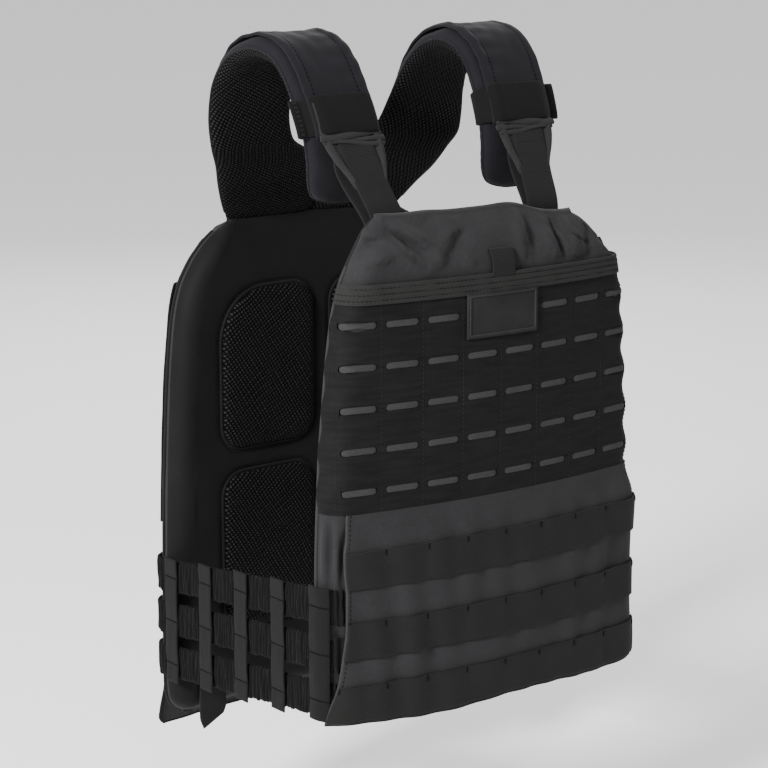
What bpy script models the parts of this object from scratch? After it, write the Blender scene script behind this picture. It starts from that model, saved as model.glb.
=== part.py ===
"""A weighted vest of the plate carrier kind, in metres, +Z up, worn facing -Y.

The origin is the middle of the line on which both shoulder straps rest on the shoulders.
Two curved, padded carriers hang in front of the chest and behind it. Padded straps join
them over the shoulders, and ribbed elastic bands join them round the sides.
"""
from collections import namedtuple
from math import asin, cos, exp, floor, pi, radians, sin

import bmesh
import bpy
from mathutils import Matrix, Vector

OBJECT_NAME = "weighted_vest"

# Room between pieces that lie on each other
SEAT = 0.0003

# Carriers: the padded bodies in front and behind
TORSO_DEPTH = 0.219
FRONT_SETBACK = 0.150
FRONT_THICK = 0.036
FRONT_HALF_WIDTH = 0.158
FRONT_HEIGHT = 0.401
FRONT_DROP = 0.117
FRONT_RADIUS = 0.767
FRONT_LEAN = 0.010
BACK_THICK = 0.036
BACK_HALF_WIDTH = 0.163
BACK_HEIGHT = 0.432
BACK_DROP = 0.147
BACK_RADIUS = 0.900
BACK_LEAN = 0.004
FINE_COLUMNS = 14
FACE_COLUMNS = 8
INNER_COLUMNS = 10
RIM_STEPS = 6
FULL_ROW = 3
SLACK_RAMP = 0.009

# Outer panels, the front one cut through for lashing, and what is sewn on it
PANEL_THICK = 0.0016
PANEL_WRAP = 0.33
PANEL_TOP_DROP = 0.048
PANEL_HEIGHT = 0.182
BACK_PANEL_TOP_DROP = 0.052
BACK_PANEL_HEIGHT = 0.206
TAPE_HEIGHT = 0.0145
TAPE_THICK = 0.0016
SLOT_COLUMNS = 8
SLOT_ROWS = 5
SLOT_PITCH_X = 0.0381
SLOT_PITCH_Z = 0.0333
SLOT_LENGTH = 0.031
SLOT_HEIGHT = 0.0060
SLOT_ROUND = 0.0024
FIRST_SLOT_DROP = 0.0315
PATCH_WIDTH = 0.070
PATCH_HEIGHT = 0.035
PATCH_THICK = 0.0024
TAB_WIDTH = 0.022
TAB_HEIGHT = 0.019
TAB_THICK = 0.0032

# Flaps over the ends of the side bands, and the webbing across the front one
FLAP_THICK = 0.0020
FLAP_OVERHANG = 0.002
BACK_FLAP_OVERHANG = 0.018
FLAP_EASE = 0.001
FLAP_GAP = 0.001
FLAP_SETTLE = 0.15
WEB_HEIGHT = 0.0285
WEB_THICK = 0.0018
WEB_DROPS = (0.0290, 0.0875, 0.1400)

# Side bands from the front carrier to the back one, and the webbing tacked across them
BAND_COUNT = 3
BAND_HEIGHT = 0.0295
BAND_PITCH = 0.0390
BAND_THICK = 0.0044
BAND_TOP_DROP = 0.2905
BAND_SLOPE = 0.125
BAND_TUCK = 0.66
BAND_STEPS = 6
STRIP_COUNT = 5
STRIP_WIDTH = 0.0165
STRIP_THICK = 0.0016
STRIP_FIRST = 0.025
STRIP_FIRST_LEFT = 0.032
STRIP_PITCH = 0.0535
STRIP_PROUD = 0.0015

# Mesh cushions inside the back carrier
CUSHION_WIDTH = 0.096
CUSHION_HEIGHT = 0.138
CUSHION_THICK = 0.0075
CUSHION_GAP_X = 0.024
CUSHION_GAP_Z = 0.025
CUSHION_TOP_DROP = 0.059
CUSHION_ROUND = 0.020
CUSHION_ROUND_OUTER = 0.046
CORNER_STEPS = 3

# Shoulder straps and what lies on them
STRAP_OUTER = 0.132
STRAP_THICK = 0.020
COVER_WIDTH = 0.060
COVER_THICK = 0.0024
COVER_LIFT = 0.0005
KEEPER_THICK = 0.0016
KEEPER_TAB = 0.011
KEEPER_EASE = 0.0012
KEEPER_TAB_RISE = 0.4
TONGUE_WIDTH = 0.056
TONGUE_THICK = 0.0024
WEBBING_WIDTH = 0.031
WEBBING_X = 0.080
ANCHOR_THICK = 0.0020
ANCHOR_DROP = 0.009
ANCHOR_LOWER = 0.010
TONGUE_SEWN = 0.032
PULL_WIDTH = 0.026
PULL_LENGTH = 0.052
PULL_THICK = 0.0020
PULL_X = 0.126
PULL_OVERHANG = 0.020

Panel = namedtuple("Panel", "facing face_y radius thick half_width top_z height lean "
                   "overhang rows")
PanelRow = namedtuple("PanelRow", "height width thick lean")
FlapRow = namedtuple("FlapRow", "drop left right")
Fold = namedtuple("Fold", "x z length breadth turn depth")
BandEdge = namedtuple("BandEdge", "drop out")
CushionRing = namedtuple("CushionRing", "inset out")
StrapRow = namedtuple("StrapRow", "y drop inner outer turn thick")
StrapEdge = namedtuple("StrapEdge", "across out")
TongueRow = namedtuple("TongueRow", "along width")

# Outline of a carrier from its hem up, each column a share of the named size
FRONT_ROWS = (
    PanelRow(0.000, 0.885, 0.30, 0.00),
    PanelRow(0.012, 0.955, 0.66, 0.00),
    PanelRow(0.037, 0.990, 0.92, 0.00),
    PanelRow(0.075, 1.000, 1.00, 0.00),
    PanelRow(0.284, 1.000, 1.00, 0.00),
    PanelRow(0.484, 0.985, 1.00, 0.00),
    PanelRow(0.630, 0.960, 1.00, 0.00),
    PanelRow(0.800, 0.915, 1.00, 0.00),
    PanelRow(0.881, 0.865, 1.00, 0.00),
    PanelRow(0.905, 0.835, 0.99, 0.10),
    PanelRow(0.930, 0.795, 0.93, 0.30),
    PanelRow(0.958, 0.745, 0.80, 0.60),
    PanelRow(0.980, 0.700, 0.60, 0.85),
    PanelRow(1.000, 0.640, 0.30, 1.00),
)
BACK_ROWS = (
    PanelRow(0.000, 0.900, 0.30, 0.00),
    PanelRow(0.012, 0.955, 0.66, 0.00),
    PanelRow(0.035, 0.990, 0.92, 0.00),
    PanelRow(0.070, 1.000, 1.00, 0.00),
    PanelRow(0.360, 0.990, 1.00, 0.00),
    PanelRow(0.650, 0.955, 1.00, 0.00),
    PanelRow(0.800, 0.915, 1.00, 0.00),
    PanelRow(0.870, 0.870, 1.00, 0.00),
    PanelRow(0.925, 0.790, 0.98, 0.20),
    PanelRow(0.960, 0.710, 0.84, 0.50),
    PanelRow(0.985, 0.630, 0.62, 0.80),
    PanelRow(1.000, 0.560, 0.34, 1.00),
)

# Side edges of a flap: drops as shares of its height, edges as columns of its carrier,
# which are shares of the flat face up to 1 and of half the rim's round beyond
FRONT_FLAP_ROWS = (
    FlapRow(0.00, 0.995, 1.28),
    FlapRow(0.10, 0.985, 1.28),
    FlapRow(0.24, 0.965, 1.28),
    FlapRow(0.38, 0.945, 1.28),
    FlapRow(0.52, 0.930, 1.28),
    FlapRow(0.66, 0.955, 1.28),
    FlapRow(0.82, 1.000, 1.28),
    FlapRow(0.93, 1.080, 1.25),
    FlapRow(1.00, 1.150, 1.19),
)
BACK_FLAP_ROWS = (
    FlapRow(0.00, 0.990, 0.990),
    FlapRow(0.30, 0.970, 0.970),
    FlapRow(0.60, 0.970, 0.970),
    FlapRow(0.82, 1.000, 1.000),
    FlapRow(0.93, 1.080, 1.080),
    FlapRow(0.97, 1.120, 1.120),
    FlapRow(1.00, 1.090, 1.090),
)

# Slack of the cloth above the front panel: places as shares of the carrier's half width
# and height, sizes and depths as shares of its thickness, turns in degrees from level
FOLDS = (
    Fold(-0.50, 0.935, 0.80, 0.34, 62, -0.085),
    Fold(-0.37, 0.930, 0.75, 0.30, 40, 0.070),
    Fold(-0.23, 0.950, 0.80, 0.34, 12, -0.060),
    Fold(0.18, 0.940, 0.60, 0.34, 96, 0.060),
    Fold(0.30, 0.930, 0.55, 0.30, 88, -0.055),
    Fold(0.46, 0.930, 0.55, 0.32, 80, 0.065),
    Fold(0.62, 0.915, 0.60, 0.26, 100, -0.080),
    Fold(0.95, 0.960, 1.10, 0.80, 110, -0.260),
)

# Half of a band's section, from its upper edge down: shares of its height and thickness
BAND_SECTION = (
    BandEdge(0.00, 0.35),
    BandEdge(0.07, 0.78),
    BandEdge(0.25, 1.00),
    BandEdge(0.75, 1.00),
    BandEdge(0.93, 0.78),
    BandEdge(1.00, 0.35),
    BandEdge(0.94, 0.00),
    BandEdge(0.06, 0.00),
)

# Section of a cushion's rim, in shares of its thickness
CUSHION_RINGS = (
    CushionRing(0.00, 0.00),
    CushionRing(0.00, 0.45),
    CushionRing(0.30, 0.82),
    CushionRing(1.10, 1.00),
)

# Middle line of a shoulder strap from the seam on the back carrier to its free front end:
# y as a share of the carrier's middle behind and of FRONT_SETBACK ahead, drop as a share of
# BACK_DROP, edges and turn as shares of STRAP_OUTER, thick as a share of STRAP_THICK
STRAP_ROWS = (
    StrapRow(0.958, 1.000, 0.000, 0.680, -0.030, 0.45),
    StrapRow(0.870, 0.857, 0.000, 0.785, -0.060, 0.50),
    StrapRow(0.780, 0.748, 0.000, 0.865, -0.080, 0.55),
    StrapRow(0.707, 0.635, 0.090, 0.925, -0.090, 0.60),
    StrapRow(0.646, 0.517, 0.320, 0.990, -0.085, 0.66),
    StrapRow(0.606, 0.354, 0.395, 1.010, -0.020, 0.72),
    StrapRow(0.545, 0.197, 0.425, 1.010, 0.030, 0.78),
    StrapRow(0.427, 0.054, 0.435, 1.000, 0.050, 0.86),
    StrapRow(0.260, -0.035, 0.440, 0.995, 0.050, 0.92),
    StrapRow(0.081, -0.064, 0.440, 0.985, 0.030, 0.96),
    StrapRow(-0.080, -0.032, 0.440, 0.975, 0.000, 1.00),
    StrapRow(-0.187, 0.054, 0.440, 0.970, 0.000, 1.00),
    StrapRow(-0.260, 0.170, 0.435, 0.960, 0.000, 1.00),
    StrapRow(-0.320, 0.286, 0.425, 0.950, 0.000, 1.00),
    StrapRow(-0.360, 0.403, 0.420, 0.940, 0.000, 1.00),
    StrapRow(-0.373, 0.537, 0.420, 0.930, 0.000, 1.00),
    StrapRow(-0.360, 0.653, 0.435, 0.915, 0.000, 0.96),
    StrapRow(-0.350, 0.724, 0.470, 0.880, 0.000, 0.80),
    StrapRow(-0.348, 0.766, 0.530, 0.820, 0.000, 0.45),
)
# Section of a strap: shares of its width from the neck side and of half its thickness
STRAP_SECTION = (
    StrapEdge(0.000, 0.00),
    StrapEdge(0.012, 0.55),
    StrapEdge(0.070, 1.00),
    StrapEdge(0.500, 1.00),
    StrapEdge(0.930, 1.00),
    StrapEdge(0.988, 0.55),
    StrapEdge(1.000, 0.00),
    StrapEdge(0.988, -0.55),
    StrapEdge(0.930, -1.00),
    StrapEdge(0.500, -1.00),
    StrapEdge(0.070, -1.00),
    StrapEdge(0.012, -0.55),
)

# Places along a strap, counted in rows of STRAP_ROWS
COVER_START = 6
COVER_END = 14
KEEPER_START = 12.45
KEEPER_END = 13.9
TONGUE_START = 12.7
ANCHOR_START = 14.6
# The tongue's free run down to the front carrier: place along it, width as a share of
# the step from the webbing's width to the tongue's
TONGUE_ROWS = (
    TongueRow(0.12, 0.95),
    TongueRow(0.28, 0.70),
    TongueRow(0.45, 0.25),
    TongueRow(0.58, 0.00),
)

# Rise and width of a hem pull, from its tip up, as shares of its length and width
PULL_ROWS = ((0.00, 0.55), (0.22, 1.00), (1.00, 1.00))

BACK_FACE_Y = TORSO_DEPTH + FRONT_THICK + BACK_THICK - FRONT_SETBACK
FRONT = Panel(-1, -FRONT_SETBACK, FRONT_RADIUS, FRONT_THICK, FRONT_HALF_WIDTH,
              -FRONT_DROP, FRONT_HEIGHT, FRONT_LEAN, FLAP_OVERHANG, FRONT_ROWS)
BACK = Panel(1, BACK_FACE_Y, BACK_RADIUS, BACK_THICK, BACK_HALF_WIDTH,
             -BACK_DROP, BACK_HEIGHT, BACK_LEAN, BACK_FLAP_OVERHANG, BACK_ROWS)


def mix(a, b, share):
    return a + (b - a) * share


# Places on a carrier's surface

def row_at(panel, z):
    """Width, thickness and lean of a carrier at a height, between the rows of its table."""
    share = (z - panel.top_z) / panel.height + 1
    share = min(max(share, 0), 1)
    for low, high in zip(panel.rows, panel.rows[1:]):
        if share <= high.height:
            step = (share - low.height) / (high.height - low.height)
            return [mix(a, b, step) for a, b in zip(low[1:], high[1:])]
    return list(panel.rows[-1][1:])


def section_at(panel, z):
    """The rim's radius, the middle arc's radius, the turn where the rim starts, the lean."""
    width, thick, lean = row_at(panel, z)
    rim = panel.thick * thick / 2
    middle = panel.radius - panel.thick / 2
    turn = asin((panel.half_width * width - rim) / middle)
    return rim, middle, turn, panel.lean * lean


def face_point(panel, column, z, out):
    """A point at a distance out from a carrier. Columns -1 to 1 cross its outer face, and
    those up to 2 either way go on round the rim to the inner face."""
    rim, middle, turn, lean = section_at(panel, z)
    side = 1 if column > 0 else -1
    angle = turn * min(abs(column), 1)
    bend = pi * max(abs(column) - 1, 0)
    across = middle * sin(angle) + (rim + out) * sin(angle + bend)
    ahead = middle * cos(angle) + (rim + out) * cos(angle + bend)
    return Vector((side * across, panel.face_y + panel.facing * (ahead - panel.radius - lean), z))


def inner_point(panel, x, z, out):
    """A point at a distance out from a carrier's inner face, towards the chest."""
    rim, middle, turn, lean = section_at(panel, z)
    arc = middle - rim - out
    angle = asin(x / arc)
    return Vector((x, panel.face_y + panel.facing * (arc * cos(angle) - panel.radius - lean), z))


def column_at(panel, along, z):
    """The column of the point that lies this far from the middle, along the surface."""
    rim, middle, turn, lean = section_at(panel, z)
    face = (middle + rim) * turn
    beyond = max(abs(along) - face, 0)
    column = min(abs(along) / face, 1) + beyond / (pi * rim)
    return column if along > 0 else -column


def surface_point(panel, along, z, out):
    return face_point(panel, column_at(panel, along, z), z, out)


def columns_between(first, last, count=FACE_COLUMNS):
    """The columns from first to last at which every layer on a carrier is bent."""
    face = [k / count for k in range(-count, count + 1)]
    rim = [1 + k / RIM_STEPS for k in range(1, RIM_STEPS)]
    inside = [-c for c in rim] + face + rim
    return [first] + [c for c in sorted(inside) if first + 1e-4 < c < last - 1e-4] + [last]


def heights_between(panel, low, high):
    """The heights from low to high at which a carrier's table has a row."""
    rows = [panel.top_z - panel.height * (1 - row.height) for row in panel.rows]
    return [low] + [z for z in rows if low + 1e-4 < z < high - 1e-4] + [high]


def fold_depth(x, z):
    """How far the slack cloth stands out of the front carrier, or sinks into it."""
    total = 0
    for fold in FOLDS:
        dx = x - fold.x * FRONT.half_width
        dz = z - (FRONT.top_z - FRONT.height * (1 - fold.z))
        turn = radians(fold.turn)
        along = (dx * cos(turn) + dz * sin(turn)) / (fold.length * FRONT.thick)
        across = (dz * cos(turn) - dx * sin(turn)) / (fold.breadth * FRONT.thick)
        total += fold.depth * FRONT.thick * exp(-along ** 2 - across ** 2)
    panel_top = FRONT.top_z - PANEL_TOP_DROP
    clear_of_panel = min(max((z - panel_top) / SLACK_RAMP, 0), 1)
    clear_of_tab = min(max((abs(x) - TAB_WIDTH) / TAB_WIDTH, 0), 1)
    return total * clear_of_panel * clear_of_tab


# Objects and their finish

def material(name, color, roughness):
    finish = bpy.data.materials.new(name)
    finish.use_nodes = True
    shader = finish.node_tree.nodes["Principled BSDF"]
    shader.inputs["Base Color"].default_value = (*color, 1)
    shader.inputs["Roughness"].default_value = roughness
    finish.diffuse_color = (*color, 1)
    return finish


def finishes():
    return {
        "cloth": material("cloth", (0.046, 0.046, 0.050), 0.85),
        "laminate": material("laminate", (0.014, 0.014, 0.015), 0.75),
        "webbing": material("webbing", (0.026, 0.026, 0.025), 0.80),
        "elastic": material("elastic", (0.020, 0.020, 0.020), 0.85),
        "mesh": material("mesh", (0.009, 0.009, 0.009), 0.90),
        "rubber": material("rubber", (0.046, 0.046, 0.046), 0.50),
    }


def new_object(name, builder, finish, collection):
    mesh = bpy.data.meshes.new(name)
    builder.to_mesh(mesh)
    builder.free()
    obj = bpy.data.objects.new(name, mesh)
    obj.data.materials.append(finish)
    collection.objects.link(obj)
    return obj


def loft(name, rings, finish, collection):
    """A closed body through rings of points, with a cap on the first and the last."""
    builder = bmesh.new()
    lines = [[builder.verts.new(point) for point in ring] for ring in rings]
    count = len(lines[0])
    for low, high in zip(lines, lines[1:]):
        for k in range(count):
            nxt = (k + 1) % count
            builder.faces.new((low[k], low[nxt], high[nxt], high[k]))
    builder.faces.new(lines[0])
    builder.faces.new(lines[-1])
    bmesh.ops.recalc_face_normals(builder, faces=builder.faces)
    return new_object(name, builder, finish, collection)


def sheet(name, rows, thick, outward, finish, collection, closed=False):
    """A piece of cloth or webbing: an open grid of points, thickened on its outer side."""
    builder = bmesh.new()
    lines = [[builder.verts.new(point) for point in row] for row in rows]
    count = len(lines[0])
    for low, high in zip(lines, lines[1:]):
        for k in range(count if closed else count - 1):
            nxt = (k + 1) % count
            builder.faces.new((low[k], low[nxt], high[nxt], high[k]))
    builder.normal_update()
    builder.faces.ensure_lookup_table()
    face = builder.faces[len(builder.faces) // 2]
    if face.normal.dot(outward(face.calc_center_median())) < 0:
        bmesh.ops.reverse_faces(builder, faces=builder.faces)
    obj = new_object(name, builder, finish, collection)
    solidify = obj.modifiers.new("thickness", "SOLIDIFY")
    solidify.thickness = thick
    solidify.offset = 1
    solidify.use_even_offset = True
    return obj


def away(*direction):
    """The same outer side all over a flat piece."""
    side = Vector(direction)
    return lambda point: side


# Carriers and their outer panels

def carrier(name, panel, finish, collection, slack=None):
    rim = [1 + k / RIM_STEPS for k in range(1, RIM_STEPS)]
    face = columns_between(-1, 1, FINE_COLUMNS)
    bottom = panel.top_z - panel.height
    rings = []
    for z in heights_between(panel, bottom, panel.top_z):
        turn = section_at(panel, z)[2]
        inner_half = (panel.radius - panel.thick) * sin(turn)
        ring = []
        for column in [-c for c in reversed(rim)] + face + rim:
            depth = slack(face_point(panel, column, z, 0).x, z) if slack else 0
            depth *= 1 - max(abs(column) - 1, 0)
            ring.append(face_point(panel, column, z, depth))
        ring += [face_point(panel, 2, z, 0)]
        ring += [inner_point(panel, inner_half * (1 - 2 * k / INNER_COLUMNS), z, 0)
                 for k in range(1, INNER_COLUMNS)]
        ring += [face_point(panel, -2, z, 0)]
        rings.append(ring)
    return loft(name, rings, finish, collection)


def panel_sheet(name, panel, low, high, reach, out, thick, finish, collection):
    """A sheet that covers a carrier's outer face and wraps on to its rim."""
    columns = columns_between(-reach, reach)
    rows = [[face_point(panel, column, z, out) for column in columns]
            for z in heights_between(panel, low, high)]
    return sheet(name, rows, thick, away(0, panel.facing, 0), finish, collection)


def slot_cutters(collection, panel_top):
    """One bar for each slot, turned square to the panel, in a single cutter object."""
    builder = bmesh.new()
    for row in range(SLOT_ROWS):
        z = panel_top - FIRST_SLOT_DROP - SLOT_PITCH_Z * row
        for number in range(SLOT_COLUMNS):
            along = SLOT_PITCH_X * (number - (SLOT_COLUMNS - 1) / 2)
            under_patch = row == 0 and abs(along) < PATCH_WIDTH / 2
            if under_patch:
                continue
            bar = bmesh.ops.create_cube(builder, size=1)["verts"]
            bmesh.ops.scale(builder, verts=bar, vec=(SLOT_LENGTH, SLOT_LENGTH / 3, SLOT_HEIGHT))
            deep = {e for v in bar for e in v.link_edges
                    if abs(e.verts[0].co.y - e.verts[1].co.y) > SLOT_HEIGHT}
            rounded = bmesh.ops.bevel(builder, geom=list(deep), offset=SLOT_ROUND, segments=1,
                                      affect="EDGES")
            bar = list({v for v in bar if v.is_valid} | set(rounded["verts"]))
            turn = along / FRONT.radius
            place = surface_point(FRONT, along, z, 0)
            bmesh.ops.rotate(builder, verts=bar, matrix=Matrix.Rotation(turn, 3, "Z"))
            bmesh.ops.translate(builder, verts=bar, vec=place)
    bmesh.ops.recalc_face_normals(builder, faces=builder.faces)
    mesh = bpy.data.meshes.new("slot_cutters")
    builder.to_mesh(mesh)
    builder.free()
    cutter = bpy.data.objects.new("slot_cutters", mesh)
    cutter.hide_render = True
    cutter.display_type = "WIRE"
    collection.objects.link(cutter)
    return cutter


def front_outer(look, parts, cutters):
    """The slotted panel with its top tape, blank patch and pull tab."""
    top = FRONT.top_z - PANEL_TOP_DROP
    reach = 1 + PANEL_WRAP
    on_panel = SEAT + PANEL_THICK + SEAT
    panel = panel_sheet("slotted_panel", FRONT, top - PANEL_HEIGHT, top, reach,
                        SEAT, PANEL_THICK, look["laminate"], parts)
    cut = panel.modifiers.new("slots", "BOOLEAN")
    cut.operation = "DIFFERENCE"
    cut.solver = "EXACT"
    cut.object = slot_cutters(cutters, top)
    panel_sheet("panel_tape", FRONT, top - TAPE_HEIGHT, top, reach, on_panel, TAPE_THICK,
                look["webbing"], parts)
    patch_top = top - TAPE_HEIGHT - SEAT
    small_sheet("blank_patch", FRONT, PATCH_WIDTH, patch_top - PATCH_HEIGHT, patch_top,
                on_panel, PATCH_THICK, look["rubber"], parts)
    small_sheet("pull_tab", FRONT, TAB_WIDTH, top + SEAT, top + SEAT + TAB_HEIGHT,
                SEAT, TAB_THICK, look["webbing"], parts)


def small_sheet(name, panel, width, low, high, out, thick, finish, collection):
    """A narrow sheet in the middle of a carrier's outer face."""
    reach = column_at(panel, width / 2, high)
    rows = [[face_point(panel, column, z, out) for column in columns_between(-reach, reach)]
            for z in heights_between(panel, low, high)]
    return sheet(name, rows, thick, away(0, panel.facing, 0), finish, collection)


# Flaps

def flap_edges(rows, share):
    """The columns of a flap's side edges at a share of its drop."""
    for low, high in zip(rows, rows[1:]):
        if share <= high.drop:
            step = (share - low.drop) / (high.drop - low.drop)
            return mix(low.left, high.left, step), mix(low.right, high.right, step)
    return rows[-1].left, rows[-1].right


def edge_columns(edge):
    """The last three columns of a flap: they bend with the carrier's rim where they pass it."""
    first = (FACE_COLUMNS - 1) / FACE_COLUMNS
    bend = 1 + 1 / RIM_STEPS
    if edge <= 1:
        return [mix(first, edge, 1 / 3), mix(first, edge, 2 / 3), edge]
    if edge <= bend:
        return [1, (1 + edge) / 2, edge]
    return [1, bend, edge]


def draped_point(panel, column, z, out):
    """A point on a piece that hangs straight down past the carrier's rounded hem."""
    point = face_point(panel, column, max(z, full_height(panel)), out)
    point.z = z
    return point


def full_height(panel):
    """The height above the hem from which a carrier has its full thickness."""
    return panel.top_z - panel.height * (1 - panel.rows[FULL_ROW].height)


def flap_bottom(panel):
    return panel.top_z - panel.height - panel.overhang


def flap_shares(panel, rows, top):
    """The shares of a flap's drop at which it or the carrier under it has a row."""
    bottom = flap_bottom(panel)
    kinks = [(top - z) / (top - bottom) for z in heights_between(panel, full_height(panel), top)]
    return sorted({row.drop for row in rows} | {FLAP_SETTLE} | set(kinks[:-1]))


def flap_grid(panel, rows, top, shares, out):
    """Points on a flap, which leaves the carrier at its top and passes over the bands."""
    over_bands = SEAT + BAND_THICK + SEAT + FLAP_EASE
    bottom = flap_bottom(panel)
    face = [k / FACE_COLUMNS for k in range(1 - FACE_COLUMNS, FACE_COLUMNS)]
    grid = []
    for share in shares:
        left, right = flap_edges(rows, share)
        lift = out + mix(SEAT, over_bands, min(share / FLAP_SETTLE, 1))
        columns = [-c for c in reversed(edge_columns(left))] + face + edge_columns(right)
        z = mix(top, bottom, share)
        grid.append([draped_point(panel, column, z, lift) for column in columns])
    return grid


def front_flap(look, parts):
    top = FRONT.top_z - PANEL_TOP_DROP - PANEL_HEIGHT - FLAP_GAP
    height = top - flap_bottom(FRONT)
    shares = flap_shares(FRONT, FRONT_FLAP_ROWS, top)
    grid = flap_grid(FRONT, FRONT_FLAP_ROWS, top, shares, 0)
    sheet("front_flap", grid, FLAP_THICK, away(0, -1, 0), look["cloth"], parts)
    for number, drop in enumerate(WEB_DROPS, 1):
        first = drop / height
        last = (drop + WEB_HEIGHT) / height
        inside = [share for share in shares if first < share < last]
        grid = flap_grid(FRONT, FRONT_FLAP_ROWS, top, [first] + inside + [last],
                         FLAP_THICK + SEAT)
        sheet(f"flap_webbing_{number}", grid, WEB_THICK, away(0, -1, 0), look["webbing"], parts)


def back_outer(look, parts):
    """The plain outer panel and flap behind, laid out as the front ones."""
    top = BACK.top_z - BACK_PANEL_TOP_DROP
    bottom = top - BACK_PANEL_HEIGHT
    panel_sheet("back_panel", BACK, bottom, top, 1 + PANEL_WRAP, SEAT, PANEL_THICK,
                look["laminate"], parts)
    flap_top = bottom - FLAP_GAP
    shares = flap_shares(BACK, BACK_FLAP_ROWS, flap_top)
    grid = flap_grid(BACK, BACK_FLAP_ROWS, flap_top, shares, 0)
    sheet("back_flap", grid, FLAP_THICK, away(0, 1, 0), look["cloth"], parts)


# Side bands

def band_legs(out):
    """A side band's path on either carrier, from under its flap to where it faces the side."""
    legs = []
    for panel in (FRONT, BACK):
        level = full_height(panel)
        sideways = 1 + (pi / 2 - section_at(panel, level)[2]) / pi
        legs.append([face_point(panel, column, level, out)
                     for column in columns_between(BAND_TUCK, sideways)])
    return legs


def band_line(out):
    """A side band's path at a distance out from the carriers, from front to back."""
    front, back = band_legs(out)
    run = [front[-1].lerp(back[-1], k / BAND_STEPS) for k in range(1, BAND_STEPS)]
    return front + run + back[::-1]


def band_top(y):
    """The upper edge of the uppermost band, which falls from front to back."""
    front, back = band_legs(0)
    level = FRONT.top_z - BAND_TOP_DROP
    return level - BAND_SLOPE * (min(max(y, front[-1].y), back[-1].y) - front[-1].y)


def clipped(line, low, high):
    """The part of a path between two depths."""
    ends = []
    for y in (low, high):
        before, after = next(pair for pair in zip(line, line[1:]) if y <= pair[1].y)
        ends.append(before.lerp(after, (y - before.y) / (after.y - before.y)))
    return ends[:1] + [point for point in line if low < point.y < high] + ends[1:]


def side_band(name, side, number, finish, collection):
    base = band_line(0)
    lines = [band_line(SEAT + BAND_THICK * edge.out) for edge in BAND_SECTION]
    rings = []
    for k, place in enumerate(base):
        top = band_top(place.y) - BAND_PITCH * number
        rings.append([Vector((side * line[k].x, line[k].y, top - BAND_HEIGHT * edge.drop))
                      for line, edge in zip(lines, BAND_SECTION)])
    loft(name, rings, finish, collection)


def side_strip(name, side, number, finish, collection):
    """A vertical strip of webbing tacked across the bands, clear of the front flap."""
    first = STRIP_FIRST if side < 0 else STRIP_FIRST_LEFT
    middle = FRONT.face_y + first + STRIP_PITCH * number
    line = clipped(band_line(SEAT + BAND_THICK + SEAT),
                   middle - STRIP_WIDTH / 2, middle + STRIP_WIDTH / 2)
    high = band_top(middle) + STRIP_PROUD
    low = band_top(middle) - BAND_PITCH * (BAND_COUNT - 1) - BAND_HEIGHT - STRIP_PROUD
    rows = [[Vector((side * point.x, point.y, z)) for point in line] for z in (low, high)]
    sheet(name, rows, STRIP_THICK, away(side, 0, 0), finish, collection)


def cummerbund(look, parts):
    for side, label in ((-1, "right"), (1, "left")):
        for number in range(BAND_COUNT):
            side_band(f"side_band_{label}_{number + 1}", side, number, look["elastic"], parts)
        for number in range(STRIP_COUNT):
            side_strip(f"side_strip_{label}_{number + 1}", side, number, look["webbing"], parts)


# Cushions

def rounded_outline(width, height, radii):
    """Points round a rectangle, each corner with its own radius, anticlockwise from the
    lower right."""
    points = []
    for quarter, radius in enumerate(radii):
        turn_x = 1 if quarter in (0, 1) else -1
        turn_z = 1 if quarter in (1, 2) else -1
        middle_x = turn_x * (width / 2 - radius)
        middle_z = turn_z * (height / 2 - radius)
        for step in range(CORNER_STEPS + 1):
            angle = pi / 2 * (quarter - 1 + step / CORNER_STEPS)
            points.append((middle_x + radius * cos(angle), middle_z + radius * sin(angle)))
    return points


def cushion(name, side, middle_z, top_round, finish, collection):
    middle_x = side * (CUSHION_GAP_X + CUSHION_WIDTH) / 2
    outer, inner = (top_round, CUSHION_ROUND) if side > 0 else (CUSHION_ROUND, top_round)
    rings = []
    for ring in CUSHION_RINGS:
        inset = ring.inset * CUSHION_THICK
        radii = [radius - inset for radius in (CUSHION_ROUND, outer, inner, CUSHION_ROUND)]
        outline = rounded_outline(CUSHION_WIDTH - 2 * inset, CUSHION_HEIGHT - 2 * inset, radii)
        out = SEAT + ring.out * CUSHION_THICK
        rings.append([inner_point(BACK, middle_x + x, middle_z + z, out) for x, z in outline])
    loft(name, rings, finish, collection)


def back_cushions(look, parts):
    upper = BACK.top_z - CUSHION_TOP_DROP - CUSHION_HEIGHT / 2
    lower = upper - CUSHION_HEIGHT - CUSHION_GAP_Z
    for side, label in ((-1, "right"), (1, "left")):
        cushion(f"cushion_upper_{label}", side, upper, CUSHION_ROUND_OUTER, look["mesh"], parts)
        cushion(f"cushion_lower_{label}", side, lower, CUSHION_ROUND, look["mesh"], parts)


# Shoulder straps

def strap_middle(row):
    """The neck and arm ends of a strap's middle line across its width."""
    reach = BACK.face_y - BACK.thick / 2 if row.y > 0 else FRONT_SETBACK
    y = row.y * reach
    z = SEAT - BACK_DROP * row.drop
    turn = row.turn * STRAP_OUTER / 2
    neck = Vector((max(row.inner * STRAP_OUTER, SEAT / 2), y - turn, z))
    arm = Vector((row.outer * STRAP_OUTER, y + turn, z))
    return neck, arm


def strap_frame(number):
    """Neck end, arm end, outward direction and half thickness at a row of the table."""
    last = len(STRAP_ROWS) - 1
    neck, arm = strap_middle(STRAP_ROWS[number])
    before = strap_middle(STRAP_ROWS[max(number - 1, 0)])
    after = strap_middle(STRAP_ROWS[min(number + 1, last)])
    run = (after[0] + after[1]) - (before[0] + before[1])
    outward = run.cross(arm - neck)
    if number == 0:
        outward.z = 0
    return neck, arm, outward.normalized(), STRAP_THICK * STRAP_ROWS[number].thick / 2


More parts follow.
